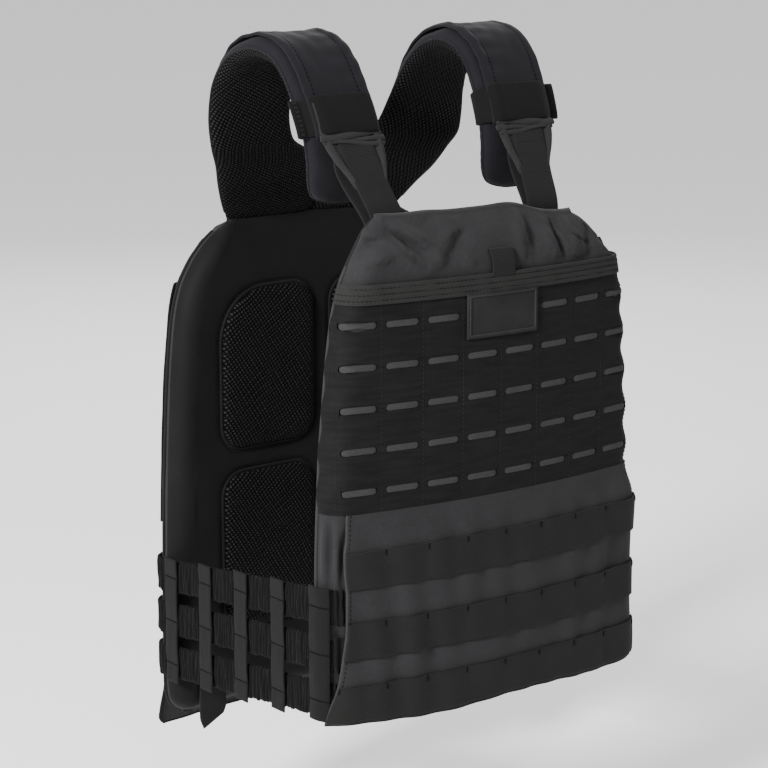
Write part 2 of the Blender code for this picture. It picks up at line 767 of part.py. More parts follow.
def strap_point(place, across, share, out=0.0):
    """A point of a strap: place along it in rows, across it from the neck side, then a
    share of its half thickness and a distance out of that."""
    ends = []
    low = min(int(floor(place)), len(STRAP_ROWS) - 2)
    for number in (low, low + 1):
        neck, arm, outward, half = strap_frame(number)
        ends.append(neck.lerp(arm, across) + outward * (half * share + out))
    return ends[0].lerp(ends[1], place - low)


def strap_width(place):
    return (strap_point(place, 1, 0) - strap_point(place, 0, 0)).length


def on_side(side, points):
    return [Vector((side * point.x, point.y, point.z)) for point in points]


def across_strap(place, width, share, out, shift=0.0):
    """Two points on a strap, a width apart about its middle."""
    half = width / 2 / strap_width(place)
    middle = 0.5 + shift / strap_width(place)
    return [strap_point(place, middle - half, share, out),
            strap_point(place, middle + half, share, out)]


def strap_pad(name, side, finish, collection):
    rings = [on_side(side, [strap_point(number, edge.across, edge.out) for edge in STRAP_SECTION])
             for number in range(len(STRAP_ROWS))]
    loft(name, rings, finish, collection)


def strap_cover(name, side, finish, collection):
    """The hook strap that lies along the top of the pad."""
    rows = [on_side(side, across_strap(place, COVER_WIDTH, 1, COVER_LIFT))
            for place in range(COVER_START, COVER_END + 1)]
    sheet(name, rows, COVER_THICK, away(0, -1, 0), finish, collection)


def strap_keeper(name, side, finish, collection):
    """An elastic loop round the pad, its cover and the tongue."""
    stack = COVER_LIFT + COVER_THICK + SEAT + TONGUE_THICK + SEAT
    rings = []
    for place in (KEEPER_START, 13, KEEPER_END):
        widen = 1 + 2 * KEEPER_EASE / strap_width(place)
        ring = []
        for edge in STRAP_SECTION:
            out = stack if edge.out > 0 else -SEAT if edge.out < 0 else 0
            ring.append(strap_point(place, (edge.across - 0.5) * widen + 0.5, edge.out, out))
        rings.append(on_side(side, ring))
    middle = strap_point(13, 0.5, 0)
    middle.x *= side

    def outward(point):
        return point - middle

    sheet(name, rings, KEEPER_THICK, outward, finish, collection, closed=True)


def keeper_tab(name, side, finish, collection):
    """The sewn end of the keeper, which stands out on the arm side."""
    rows = []
    for place in (KEEPER_START, 13, KEEPER_END):
        edge = strap_width(place) / 2 + KEEPER_EASE + KEEPER_THICK + 2 * SEAT
        rows.append(on_side(side, across_strap(place, KEEPER_TAB, KEEPER_TAB_RISE, 0,
                                               edge + KEEPER_TAB / 2)))
    sheet(name, rows, 2 * KEEPER_THICK, away(0, -1, 0), finish, collection)


def down_the_front(width, top, low, out):
    """Rows across a webbing on the front carrier's inner face, from its top down."""
    heights = heights_between(FRONT, FRONT.top_z - low, FRONT.top_z - top)
    return [[inner_point(FRONT, WEBBING_X + turn * width / 2, z, out) for turn in (-1, 1)]
            for z in reversed(heights)]


def strap_tongue(name, side, finish, collection):
    """The front webbing and the wide tongue that it widens into on top of the cover."""
    lift = COVER_LIFT + COVER_THICK + SEAT
    rows = [across_strap(place, TONGUE_WIDTH, 1, lift) for place in (TONGUE_START, 13, COVER_END)]
    sewn = down_the_front(WEBBING_WIDTH, ANCHOR_DROP, ANCHOR_DROP + TONGUE_SEWN,
                          SEAT + TONGUE_THICK)
    start = (rows[-1][0] + rows[-1][1]) / 2
    end = (sewn[0][0] + sewn[0][1]) / 2
    for row in TONGUE_ROWS:
        middle = start.lerp(end, row.along)
        half = Vector((mix(WEBBING_WIDTH, TONGUE_WIDTH, row.width) / 2, 0, 0))
        rows.append([middle - half, middle + half])
    rows = [on_side(side, row) for row in rows + sewn]
    sheet(name, rows, TONGUE_THICK, away(0, -1, 0), finish, collection)


def strap_anchor(name, side, finish, collection):
    """The webbing behind the tongue, from the pad down to where both are sewn in."""
    rows = [across_strap(place, WEBBING_WIDTH, 1, SEAT) for place in (ANCHOR_START, 15)]
    rows += down_the_front(WEBBING_WIDTH, ANCHOR_DROP + ANCHOR_LOWER,
                           ANCHOR_DROP + TONGUE_SEWN,
                           SEAT + TONGUE_THICK + SEAT + ANCHOR_THICK)
    rows = [on_side(side, row) for row in rows]
    sheet(name, rows, ANCHOR_THICK, away(0, -1, 0), finish, collection)


def straps(look, parts):
    for side, label in ((-1, "right"), (1, "left")):
        strap_pad(f"strap_pad_{label}", side, look["mesh"], parts)
        strap_cover(f"strap_cover_{label}", side, look["cloth"], parts)
        strap_keeper(f"strap_keeper_{label}", side, look["elastic"], parts)
        keeper_tab(f"keeper_tab_{label}", side, look["elastic"], parts)
        strap_tongue(f"strap_tongue_{label}", side, look["webbing"], parts)
        strap_anchor(f"strap_anchor_{label}", side, look["webbing"], parts)


def pull_tabs(look, parts):
    """Webbing ends that hang below the back carrier's hem."""
    low = BACK.top_z - BACK.height - PULL_OVERHANG
    for side, label in ((-1, "right"), (1, "left")):
        rows = []
        for rise, share in PULL_ROWS:
            z = low + PULL_LENGTH * rise
            half = PULL_WIDTH * share / 2
            row = [inner_point(BACK, PULL_X + half * turn, full_height(BACK), SEAT)
                   for turn in (-1, 1)]
            rows.append(on_side(side, [Vector((point.x, point.y, z)) for point in row]))
        sheet(f"hem_pull_{label}", rows, PULL_THICK, away(0, -1, 0), look["webbing"], parts)


def main():
    for obj in list(bpy.data.objects):
        bpy.data.objects.remove(obj)
    parts = bpy.data.collections.new(OBJECT_NAME)
    cutters = bpy.data.collections.new("cutters")
    for collection in (parts, cutters):
        bpy.context.scene.collection.children.link(collection)
    look = finishes()
    carrier("front_carrier", FRONT, look["cloth"], parts, fold_depth)
    carrier("back_carrier", BACK, look["cloth"], parts)
    front_outer(look, parts, cutters)
    front_flap(look, parts)
    back_outer(look, parts)
    cummerbund(look, parts)
    back_cushions(look, parts)
    straps(look, parts)
    pull_tabs(look, parts)


main()
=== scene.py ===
"""Looks of a weighted vest: cloth, webbing, ruched elastic, mesh and stitches round the solids.

Metres, +Z up, the front faces -Y. The origin is where the straps rest on the shoulders.
"""

from collections import namedtuple
from math import cos, pi, radians, sin, tau

import bpy
import numpy as np
from mathutils import Matrix, Vector
from mathutils.geometry import delaunay_2d_cdt


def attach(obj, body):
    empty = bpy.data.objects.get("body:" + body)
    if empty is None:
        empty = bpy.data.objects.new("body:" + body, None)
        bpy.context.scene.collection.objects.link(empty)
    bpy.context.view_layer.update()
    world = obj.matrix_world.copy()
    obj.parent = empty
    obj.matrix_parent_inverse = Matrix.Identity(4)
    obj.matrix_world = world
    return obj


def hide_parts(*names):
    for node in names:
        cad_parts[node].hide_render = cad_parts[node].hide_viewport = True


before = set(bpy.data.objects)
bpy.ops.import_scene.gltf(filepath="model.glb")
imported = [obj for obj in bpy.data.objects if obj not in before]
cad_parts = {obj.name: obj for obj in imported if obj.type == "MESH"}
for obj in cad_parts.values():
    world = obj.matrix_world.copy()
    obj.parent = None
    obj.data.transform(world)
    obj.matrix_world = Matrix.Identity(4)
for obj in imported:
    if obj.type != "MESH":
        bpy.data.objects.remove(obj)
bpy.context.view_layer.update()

# Sizes of the solids, as the part's source has them. Only the slots' rounding and the place of
# the first strip on the right are set a little apart from it, closer to the real vest's.
SEAT = 0.0003
TORSO_DEPTH = 0.219
FRONT_SETBACK = 0.150
CARRIER_THICK = 0.036
BACK_FACE_Y = TORSO_DEPTH + 2 * CARRIER_THICK - FRONT_SETBACK
FRONT_RADIUS = 0.767
FRONT_HALF_WIDTH = 0.158
FRONT_TOP = -0.117
FRONT_HEIGHT = 0.401
FRONT_LEAN = 0.010
FRONT_FULL = 0.075
BACK_RADIUS = 0.900
BACK_HALF_WIDTH = 0.163
BACK_TOP = -0.147
BACK_HEIGHT = 0.432
BACK_LEAN = 0.004
BACK_FULL = 0.070
PANEL_THICK = 0.0016
PANEL_WRAP = 0.33
PANEL_TOP_DROP = 0.048
PANEL_HEIGHT = 0.182
BACK_PANEL_TOP_DROP = 0.052
BACK_PANEL_HEIGHT = 0.206
TAPE_HEIGHT = 0.0145
TAPE_THICK = 0.0016
SLOT_COLUMNS = 8
SLOT_ROWS = 5
SLOT_PITCH_X = 0.0381
SLOT_PITCH_Z = 0.0333
SLOT_LENGTH = 0.031
SLOT_HEIGHT = 0.0060
SLOT_ROUND = 0.0027
FIRST_SLOT_DROP = 0.0315
PATCH_WIDTH = 0.070
PATCH_HEIGHT = 0.035
PATCH_THICK = 0.0024
TAB_WIDTH = 0.022
TAB_HEIGHT = 0.019
FLAP_THICK = 0.0020
FLAP_OVERHANG = 0.002
BACK_FLAP_OVERHANG = 0.018
FLAP_EASE = 0.001
FLAP_GAP = 0.001
FLAP_SETTLE = 0.15
WEB_HEIGHT = 0.0285
WEB_THICK = 0.0018
WEB_DROPS = (0.0290, 0.0875, 0.1400)
BAND_COUNT = 3
BAND_HEIGHT = 0.0295
BAND_PITCH = 0.0390
BAND_THICK = 0.0044
BAND_TOP_DROP = 0.2905
BAND_SLOPE = 0.125
BAND_TUCK = 0.66
STRIP_COUNT = 5
STRIP_WIDTH = 0.0165
STRIP_THICK = 0.0016
STRIP_FIRST = 0.0275
STRIP_FIRST_LEFT = 0.032
STRIP_PITCH = 0.0535
STRIP_PROUD = 0.0015
CUSHION_WIDTH = 0.096
CUSHION_HEIGHT = 0.138
CUSHION_THICK = 0.0075
CUSHION_GAP_X = 0.024
CUSHION_GAP_Z = 0.025
CUSHION_TOP_DROP = 0.059
CUSHION_ROUND = 0.020
CUSHION_ROUND_OUTER = 0.046
STRAP_OUTER = 0.132
STRAP_THICK = 0.020
STRAP_DROP = 0.147
STRAP_REACH_BACK = BACK_FACE_Y - CARRIER_THICK / 2
COVER_WIDTH = 0.060
COVER_THICK = 0.0024
COVER_LIFT = 0.0005
KEEPER_THICK = 0.0016
KEEPER_EASE = 0.0012
KEEPER_TAB_RISE = 0.4
TONGUE_WIDTH = 0.056
TONGUE_THICK = 0.0024
WEBBING_WIDTH = 0.031
WEBBING_X = 0.080
ANCHOR_THICK = 0.0020
ANCHOR_DROP = 0.009
ANCHOR_LOWER = 0.010
TONGUE_SEWN = 0.032
PULL_WIDTH = 0.026
PULL_LENGTH = 0.052
PULL_THICK = 0.0020
PULL_X = 0.126
PULL_OVERHANG = 0.020
COVER_START = 6
COVER_END = 14
KEEPER_START = 12.45
KEEPER_END = 13.9
TONGUE_START = 12.7
ANCHOR_START = 14.6

SIDES = ((-1, "right"), (1, "left"))

PanelRow = namedtuple("PanelRow", "height width thick lean")
FlapRow = namedtuple("FlapRow", "drop left right")
Fold = namedtuple("Fold", "x z length breadth turn depth")
StrapRow = namedtuple("StrapRow", "y drop inner outer turn thick")
TongueRow = namedtuple("TongueRow", "along width")
Crumple = namedtuple("Crumple", "along wide thick reach tilt phase")
Cushion = namedtuple("Cushion", "name x z radii")
Ripple = namedtuple("Ripple", "depth length seed upright", defaults=(1.0,))
Sewing = namedtuple("Sewing", "pitch length thick")

FRONT_ROWS = (
    PanelRow(0.000, 0.885, 0.30, 0.00),
    PanelRow(0.012, 0.955, 0.66, 0.00),
    PanelRow(0.037, 0.990, 0.92, 0.00),
    PanelRow(0.075, 1.000, 1.00, 0.00),
    PanelRow(0.284, 1.000, 1.00, 0.00),
    PanelRow(0.484, 0.985, 1.00, 0.00),
    PanelRow(0.630, 0.960, 1.00, 0.00),
    PanelRow(0.800, 0.915, 1.00, 0.00),
    PanelRow(0.881, 0.865, 1.00, 0.00),
    PanelRow(0.905, 0.835, 0.99, 0.10),
    PanelRow(0.930, 0.795, 0.93, 0.30),
    PanelRow(0.958, 0.745, 0.80, 0.60),
    PanelRow(0.980, 0.700, 0.60, 0.85),
    PanelRow(1.000, 0.640, 0.30, 1.00),
)
BACK_ROWS = (
    PanelRow(0.000, 0.900, 0.30, 0.00),
    PanelRow(0.012, 0.955, 0.66, 0.00),
    PanelRow(0.035, 0.990, 0.92, 0.00),
    PanelRow(0.070, 1.000, 1.00, 0.00),
    PanelRow(0.360, 0.990, 1.00, 0.00),
    PanelRow(0.650, 0.955, 1.00, 0.00),
    PanelRow(0.800, 0.915, 1.00, 0.00),
    PanelRow(0.870, 0.870, 1.00, 0.00),
    PanelRow(0.925, 0.790, 0.98, 0.20),
    PanelRow(0.960, 0.710, 0.84, 0.50),
    PanelRow(0.985, 0.630, 0.62, 0.80),
    PanelRow(1.000, 0.560, 0.34, 1.00),
)
FRONT_FLAP_ROWS = (
    FlapRow(0.00, 1.020, 1.28),
    FlapRow(0.10, 1.035, 1.28),
    FlapRow(0.17, 1.060, 1.28),
    FlapRow(0.24, 1.055, 1.28),
    FlapRow(0.38, 1.030, 1.28),
    FlapRow(0.52, 1.030, 1.28),
    FlapRow(0.66, 1.070, 1.28),
    FlapRow(0.82, 1.130, 1.28),
    FlapRow(0.93, 1.215, 1.25),
    FlapRow(1.00, 1.270, 1.19),
)
BACK_FLAP_ROWS = (
    FlapRow(0.00, 0.990, 0.990),
    FlapRow(0.30, 0.970, 0.970),
    FlapRow(0.60, 0.970, 0.970),
    FlapRow(0.82, 1.000, 1.000),
    FlapRow(0.93, 1.080, 1.080),
    FlapRow(0.97, 1.110, 1.110),
    FlapRow(1.00, 1.040, 1.040),
)
STRAP_ROWS = (
    StrapRow(0.958, 1.000, 0.000, 0.680, -0.030, 0.45),
    StrapRow(0.870, 0.857, 0.000, 0.785, -0.060, 0.50),
    StrapRow(0.780, 0.748, 0.000, 0.865, -0.080, 0.55),
    StrapRow(0.707, 0.635, 0.090, 0.925, -0.090, 0.60),
    StrapRow(0.646, 0.517, 0.320, 0.990, -0.085, 0.66),
    StrapRow(0.606, 0.354, 0.395, 1.010, -0.020, 0.72),
    StrapRow(0.545, 0.197, 0.425, 1.010, 0.030, 0.78),
    StrapRow(0.427, 0.054, 0.435, 1.000, 0.050, 0.86),
    StrapRow(0.260, -0.035, 0.440, 0.995, 0.050, 0.92),
    StrapRow(0.081, -0.064, 0.440, 0.985, 0.030, 0.96),
    StrapRow(-0.080, -0.032, 0.440, 0.975, 0.000, 1.00),
    StrapRow(-0.187, 0.054, 0.440, 0.970, 0.000, 1.00),
    StrapRow(-0.260, 0.170, 0.435, 0.960, 0.000, 1.00),
    StrapRow(-0.320, 0.286, 0.425, 0.950, 0.000, 1.00),
    StrapRow(-0.360, 0.403, 0.420, 0.940, 0.000, 1.00),
    StrapRow(-0.373, 0.537, 0.420, 0.930, 0.000, 1.00),
    StrapRow(-0.360, 0.653, 0.435, 0.915, 0.000, 0.96),
    StrapRow(-0.350, 0.724, 0.470, 0.880, 0.000, 0.80),
    StrapRow(-0.348, 0.766, 0.530, 0.820, 0.000, 0.45),
)
TONGUE_ROWS = (
    TongueRow(0.12, 0.95),
    TongueRow(0.28, 0.70),
    TongueRow(0.45, 0.25),
    TongueRow(0.58, 0.00),
)

# Slack cloth above the front panel: x from the middle, z from the carrier's top, metres
TOP_FOLDS = (
    Fold(-0.0825, -0.0195, 0.018, 0.0036, -37, -0.0052),
    Fold(-0.0770, -0.0125, 0.018, 0.0050, -36, 0.0036),
    Fold(-0.0900, -0.0270, 0.016, 0.0055, -42, 0.0034),
    Fold(-0.1200, -0.0100, 0.016, 0.0042, 20, 0.0036),
    Fold(-0.1180, -0.0185, 0.018, 0.0036, 12, -0.0038),
    Fold(-0.1120, -0.0280, 0.020, 0.0050, 10, 0.0028),
    Fold(-0.0560, -0.0280, 0.026, 0.0080, 42, 0.0034),
    Fold(-0.0400, -0.0220, 0.026, 0.0080, 30, -0.0030),
    Fold(-0.0300, -0.0360, 0.016, 0.0050, -38, 0.0018),
    Fold(0.0030, -0.0180, 0.020, 0.0060, 100, 0.0020),
    Fold(0.0220, -0.0200, 0.020, 0.0070, 80, 0.0034),
    Fold(0.0410, -0.0220, 0.018, 0.0070, 85, -0.0034),
    Fold(0.0570, -0.0220, 0.018, 0.0060, 95, 0.0026),
    Fold(0.0690, -0.0220, 0.016, 0.0024, 92, -0.0038),
    Fold(0.0820, -0.0200, 0.018, 0.0070, 85, 0.0034),
    Fold(0.1050, -0.0280, 0.020, 0.0060, 70, -0.0030),
    Fold(0.1500, -0.0160, 0.040, 0.0290, 110, -0.0060),
)
# Loose cloth down the front carrier's sides: as above, x being the distance along the
# surface from where the side starts to turn
SIDE_FOLDS = (
    Fold(0.0065, -0.236, 0.014, 0.0060, 75, 0.0042),
    Fold(0.0085, -0.264, 0.028, 0.0030, 88, 0.0036),
    Fold(0.0135, -0.262, 0.032, 0.0028, 91, -0.0036),
    Fold(0.0030, -0.264, 0.028, 0.0030, 93, -0.0028),
    Fold(0.0190, -0.258, 0.030, 0.0030, 90, 0.0026),
    Fold(0.0060, -0.340, 0.030, 0.0040, 86, -0.0030),
    Fold(0.0130, -0.335, 0.030, 0.0040, 92, 0.0026),
)

# Thicknesses, pitches and reliefs of what only the looks have
PIPING = 0.0016
BINDING_WIDE = 0.0013
BINDING_THICK = 0.0014
PLAIN_SEWING = Sewing(0.0036, 0.0026, 0.00034)
WEB_SEWING = Sewing(0.0022, 0.0018, 0.00034)
WEB_TACKS = Sewing(0.0005, 0.0024, 0.0007)
STRIP_TACKS = Sewing(0.0008, 0.0016, 0.0006)
BILLOW = 0.0010
SLOT_BULGE = 0.0016
WEB_BULGE = 0.0012
WEB_TACK_PITCH = SLOT_PITCH_X
RIDGE_PITCH = 0.0044
RIDGE_DEPTH = 0.0034
STRIP_BULGE = 0.0008
COVER_RIDGE = 0.0028
CREASE_DEPTH = 0.0013
PANEL_REACH = 0.46
SLUMP = 0.0115
SLUMP_AT = 0.094
SLUMP_REACH = 0.038
KEEPER_TAB_SHOWN = 0.0050
PULL_SHOWN = 0.009
THREAD_LIFT = 0.0001
MESH_SLANT = 0.62
MESH_CELL = 0.0036

# Seeded unevenness: its depth in metres or as a share, its wavelength, its seed, and how much
# longer it is upright. The strips and bands add their own numbers to the last five seeds.
SLUMP_RIPPLE = Ripple(0.0012, 0.050, 13)
LINING_RIPPLE = Ripple(0.0004, 0.060, 23)
BACK_LINING_RIPPLE = Ripple(0.0006, 0.070, 29)
BACK_RIPPLE = Ripple(0.0005, 0.050, 31)
BACK_WRINKLE = Ripple(0.0014, 0.022, 33)
PANEL_RIPPLE = Ripple(0.35, 0.045, 41)
TAPE_RIPPLE = Ripple(0.00025, 0.020, 47)
FLAP_FOLD = Ripple(0.0013, 0.030, 53, 4.0)
FLAP_RIPPLE = Ripple(0.0007, 0.075, 59)
BACK_PANEL_RIPPLE = Ripple(0.0008, 0.060, 61)
BACK_FLAP_RIPPLE = Ripple(0.0009, 0.040, 67, 2.5)
PAD_RIPPLE = Ripple(0.0006, 0.030, 71)
COVER_RIPPLE = Ripple(0.0004, 0.020, 73)
MESH_BEND = Ripple(0.0012, 0.050, 83)
STRIP_RIPPLE = Ripple(0.0001, 0.030, 200)
STRIP_SWAY = Ripple(0.0002, 0.050, 230)
RIDGE_DRIFT = Ripple(0.30, 0.024, 0, 3.5)
RIDGE_WAVER = Ripple(0.08, 0.007, 1, 2.0)
RIDGE_UNEVEN = Ripple(0.28, 0.009, 2, 3.0)


# Curves and surfaces

def mix(a, b, share):
    return a + (b - a) * share


def smooth_step(low, high, value):
    share = np.clip((value - low) / (high - low), 0, 1)
    return share * share * (3 - 2 * share)


def through(knots, values, at):
    """Values between knots on a monotone cubic, so that nothing overshoots its rows."""
    knots = np.asarray(knots, float)
    values = np.asarray(values, float)
    at = np.clip(np.asarray(at, float), knots[0], knots[-1])
    deep = (1,) * (values.ndim - 1)
    secants = np.diff(values, axis=0) / np.diff(knots).reshape(-1, *deep)
    slopes = np.zeros_like(values)
    slopes[0] = secants[0]
    slopes[-1] = secants[-1]
    product = secants[:-1] * secants[1:]
    total = secants[:-1] + secants[1:]
    slopes[1:-1] = np.where(product > 0, 2 * product / np.where(total == 0, 1, total), 0)
    low = np.clip(np.searchsorted(knots, at, side="right") - 1, 0, len(knots) - 2)
    width = (knots[low + 1] - knots[low]).reshape(*at.shape, *deep)
    t = (at - knots[low]).reshape(*at.shape, *deep) / width
    return ((1 + 2 * t) * (1 - t) ** 2 * values[low] + t * (1 - t) ** 2 * width * slopes[low]
            + t * t * (3 - 2 * t) * values[low + 1] + t * t * (t - 1) * width * slopes[low + 1])


def unit(vectors):
    return vectors / np.maximum(np.linalg.norm(vectors, axis=-1, keepdims=True), 1e-12)


def ripples(u, v, wavelength, seed, count=8, upright=1.0):
    """An uneven surface of about -1 to 1, from waves in seeded directions."""
    draws = np.random.default_rng(seed).random((count, 3))
    total = 0
    for turn, phase, size in draws:
        rate = tau / (wavelength * (0.7 + 0.7 * size))
        total = total + np.sin(rate * (u * cos(tau * turn) + v * sin(tau * turn) / upright)
                               + tau * phase)
    return total / count ** 0.5 / 1.2


def rippled(u, v, ripple, seed=0):
    return ripple.depth * ripples(u, v, ripple.length, ripple.seed + seed,
                                  upright=ripple.upright)


def hump(distance, breadth):
    """1 where there is no distance, and down to 0 on both sides as a bell is."""
    return np.exp(-(distance / breadth) ** 2)


def creased(u, v, wavelength, seed):
    """Crumpled cloth: soft swells that meet in creases."""
    swell = ripples(u, v, wavelength, seed)
    small = ripples(u, v, wavelength * 0.45, seed + 5)
    return CREASE_DEPTH * (np.minimum(np.abs(swell) * 2.2, 1.2) - 0.6
                           + 0.5 * np.minimum(np.abs(small) * 2, 1))


def folded(x, z, folds):
    """How far cloth stands out of its surface, or sinks into it, in a table of folds."""
    total = np.zeros(np.broadcast(x, z).shape)
    for fold in folds:
        turn = radians(fold.turn)
        along = ((x - fold.x) * cos(turn) + (z - fold.z) * sin(turn)) / fold.length
        across = ((z - fold.z) * cos(turn) - (x - fold.x) * sin(turn)) / fold.breadth
        total += fold.depth * np.exp(-along ** 2 - across ** 2)
    return total


def eased(count, sharp=0.5):
    """Shares from 0 to 1 that lie closer together at both ends."""
    share = np.linspace(0, 1, count)
    return mix(share, (1 - np.cos(pi * share)) / 2, sharp)


def points_of(x, y, z):
    return np.stack(np.broadcast_arrays(x, y, z), axis=-1)


class Carrier:
    """A curved padded body. Columns -1 to 1 cross its outer face, those up to 2 go on round
    the rim to the inner face, and out is a distance away from it."""

    def __init__(self, facing, face_y, radius, half_width, top, height, lean, full, overhang,
                 rows):
        self.facing = facing
        self.face_y = face_y
        self.radius = radius
        self.half_width = half_width
        self.top = top
        self.height = height
        self.bottom = top - height
        self.lean = lean
        self.full = self.bottom + height * full
        self.flap_bottom = self.bottom - overhang
        self.heights = [row.height for row in rows]
        self.shares = [row[1:] for row in rows]

    def section(self, z):
        share = (np.asarray(z, float) - self.bottom) / self.height
        width, thick, lean = np.moveaxis(through(self.heights, self.shares, share), -1, 0)
        rim = CARRIER_THICK * thick / 2
        middle = self.radius - CARRIER_THICK / 2
        turn = np.arcsin((self.half_width * width - rim) / middle)
        return rim, middle, turn, self.lean * lean

    def point(self, column, z, out=0.0):
        rim, middle, turn, lean = self.section(z)
        angle = turn * np.minimum(np.abs(column), 1)
        bend = angle + pi * np.maximum(np.abs(column) - 1, 0)
        across = middle * np.sin(angle) + (rim + out) * np.sin(bend)
        ahead = middle * np.cos(angle) + (rim + out) * np.cos(bend)
        return points_of(np.sign(column) * across,
                         self.face_y + self.facing * (ahead - self.radius - lean), z)

    def draped(self, column, z, out=0.0):
        """A point on a piece that hangs straight down past the rounded hem."""
        point = self.point(column, np.maximum(z, self.full), out)
        point[..., 2] = z
        return point

    def inner(self, x, z, out=0.0):
        rim, middle, turn, lean = self.section(z)
        arc = middle - rim - out
        return points_of(x, self.face_y + self.facing
                         * (arc * np.cos(np.arcsin(x / arc)) - self.radius - lean), z)

    def face_length(self, z):
        rim, middle, turn, lean = self.section(z)
        return (middle + rim) * turn

    def column_at(self, along, z):
        """The column that lies this far from the middle, along the surface."""
        face = self.face_length(z)
        beyond = np.maximum(np.abs(along) - face, 0)
        return np.sign(along) * (np.minimum(np.abs(along) / face, 1)
                                 + beyond / (pi * self.section(z)[0]))

    def along_at(self, column, z):
        face = self.face_length(z)
        reach = np.minimum(np.abs(column), 1) * face
        reach = reach + np.maximum(np.abs(column) - 1, 0) * pi * self.section(z)[0]
        return np.sign(column) * reach


FRONT = Carrier(-1, -FRONT_SETBACK, FRONT_RADIUS, FRONT_HALF_WIDTH, FRONT_TOP, FRONT_HEIGHT,
                FRONT_LEAN, FRONT_FULL, FLAP_OVERHANG, FRONT_ROWS)
BACK = Carrier(1, BACK_FACE_Y, BACK_RADIUS, BACK_HALF_WIDTH, BACK_TOP, BACK_HEIGHT,
               BACK_LEAN, BACK_FULL, BACK_FLAP_OVERHANG, BACK_ROWS)
FRONT_PANEL_TOP = FRONT.top - PANEL_TOP_DROP
BACK_PANEL_TOP = BACK.top - BACK_PANEL_TOP_DROP
FRONT_FLAP_TOP = FRONT_PANEL_TOP - PANEL_HEIGHT - FLAP_GAP
BACK_FLAP_TOP = BACK_PANEL_TOP - BACK_PANEL_HEIGHT - FLAP_GAP


# Meshes

def corners(grid, closed=False):
    """The four corners of each face of a grid, whatever the grid holds."""
    if closed:
        grid = np.concatenate([grid, grid[:, :1]], axis=1)
    quads = np.stack([grid[:-1, :-1], grid[:-1, 1:], grid[1:, 1:], grid[1:, :-1]], axis=2)
    return quads.reshape(-1, 4, *grid.shape[2:])


def new_piece(name, points, faces, finishes, uv=None, face_finish=None):
    """A closed mesh, turned right side out by its volume."""
    points = np.asarray(points, float)
    faces = np.asarray(faces)
    a, b, c = (points[faces[:, k]] for k in range(3))
    volume = np.einsum("ij,ij->i", a, np.cross(b, c)).sum()
    if faces.shape[1] == 4:
        volume += np.einsum("ij,ij->i", a, np.cross(c, points[faces[:, 3]])).sum()
    if volume < 0:
        faces = faces[:, ::-1]
        uv = None if uv is None else uv[:, ::-1]
    mesh = bpy.data.meshes.new(name)
    mesh.vertices.add(len(points))
    mesh.vertices.foreach_set("co", points.astype(np.float32).ravel())
    mesh.loops.add(faces.size)
    mesh.loops.foreach_set("vertex_index", faces.astype(np.int32).ravel())
    mesh.polygons.add(len(faces))
    starts = np.arange(0, faces.size, faces.shape[1], dtype=np.int32)
    mesh.polygons.foreach_set("loop_start", starts)
    mesh.update(calc_edges=True)
    for finish in finishes:
        mesh.materials.append(finish)
    if face_finish is not None:
        mesh.polygons.foreach_set("material_index", np.asarray(face_finish, np.int32))
    if uv is not None:
        layer = mesh.uv_layers.new(name="weave")
        layer.data.foreach_set("uv", np.asarray(uv, np.float32).ravel())
    mesh.shade_smooth()
    obj = bpy.data.objects.new(name, mesh)
    bpy.context.scene.collection.objects.link(obj)
    return obj


def metric_uv(grid):
    """Distances across and along a grid of points, from its middle column and first row."""
    across = np.linalg.norm(np.diff(grid, axis=1), axis=-1)
    across = np.concatenate([np.zeros((len(grid), 1)), np.cumsum(across, axis=1)], axis=1)
    across -= across[:, across.shape[1] // 2][:, None]
    middle = grid[:, grid.shape[1] // 2]
    along = np.linalg.norm(np.diff(middle, axis=0), axis=-1)
    along = np.concatenate([[0], np.cumsum(along)])
    return np.stack(np.broadcast_arrays(across, along[:, None]), axis=-1)


def two_faced(name, outer, inner, finishes, closed=False):
    """A body with an outer and an inner side that meet in their border."""
    rows, cols = outer.shape[:2]
    index = np.arange(rows * cols).reshape(rows, cols)
    free = np.ones((rows, cols), bool)
    free[[0, -1]] = False
    if not closed:
        free[:, [0, -1]] = False
    under = index.copy()
    under[free] = rows * cols + np.arange(free.sum())
    points = np.concatenate([outer.reshape(-1, 3), inner[free]])
    round_it = np.concatenate([outer, outer[:, :1]], axis=1) if closed else outer
    uv = corners(metric_uv(round_it))
    front = corners(index, closed)
    back = corners(under, closed)[:, ::-1]
    sides = np.repeat([0, len(finishes) - 1], len(front))
    return new_piece(name, points, np.concatenate([front, back]), finishes,
                     np.concatenate([uv, uv[:, ::-1]]), sides)


def grid_normals(grid, outward, closed=False):
    if closed:
        across = np.roll(grid, -1, axis=1) - np.roll(grid, 1, axis=1)
    else:
        across = np.gradient(grid, axis=1)
    normals = unit(np.cross(across, np.gradient(grid, axis=0)))
    middle = normals[len(grid) // 2, grid.shape[1] // 2]
    return normals if np.dot(middle, outward) > 0 else -normals


# How far the two rows of a rounded border reach, and how thick they are, as shares
ROUND_REACH = (1.0, 0.7071)
ROUND_SWELL = (0.0, 0.7071)


def rounded_border(count, closed):
    """Which row each row of a rounded sheet starts from, its reach past that, and its swell."""
    if closed:
        return np.arange(count), np.zeros(count), np.ones(count)
    at = np.concatenate([[0, 0], np.arange(count), [count - 1, count - 1]])
    reach = np.concatenate([ROUND_REACH, np.zeros(count), ROUND_REACH[::-1]])
    swell = np.concatenate([ROUND_SWELL, np.ones(count), ROUND_SWELL[::-1]])
    return at, reach, swell


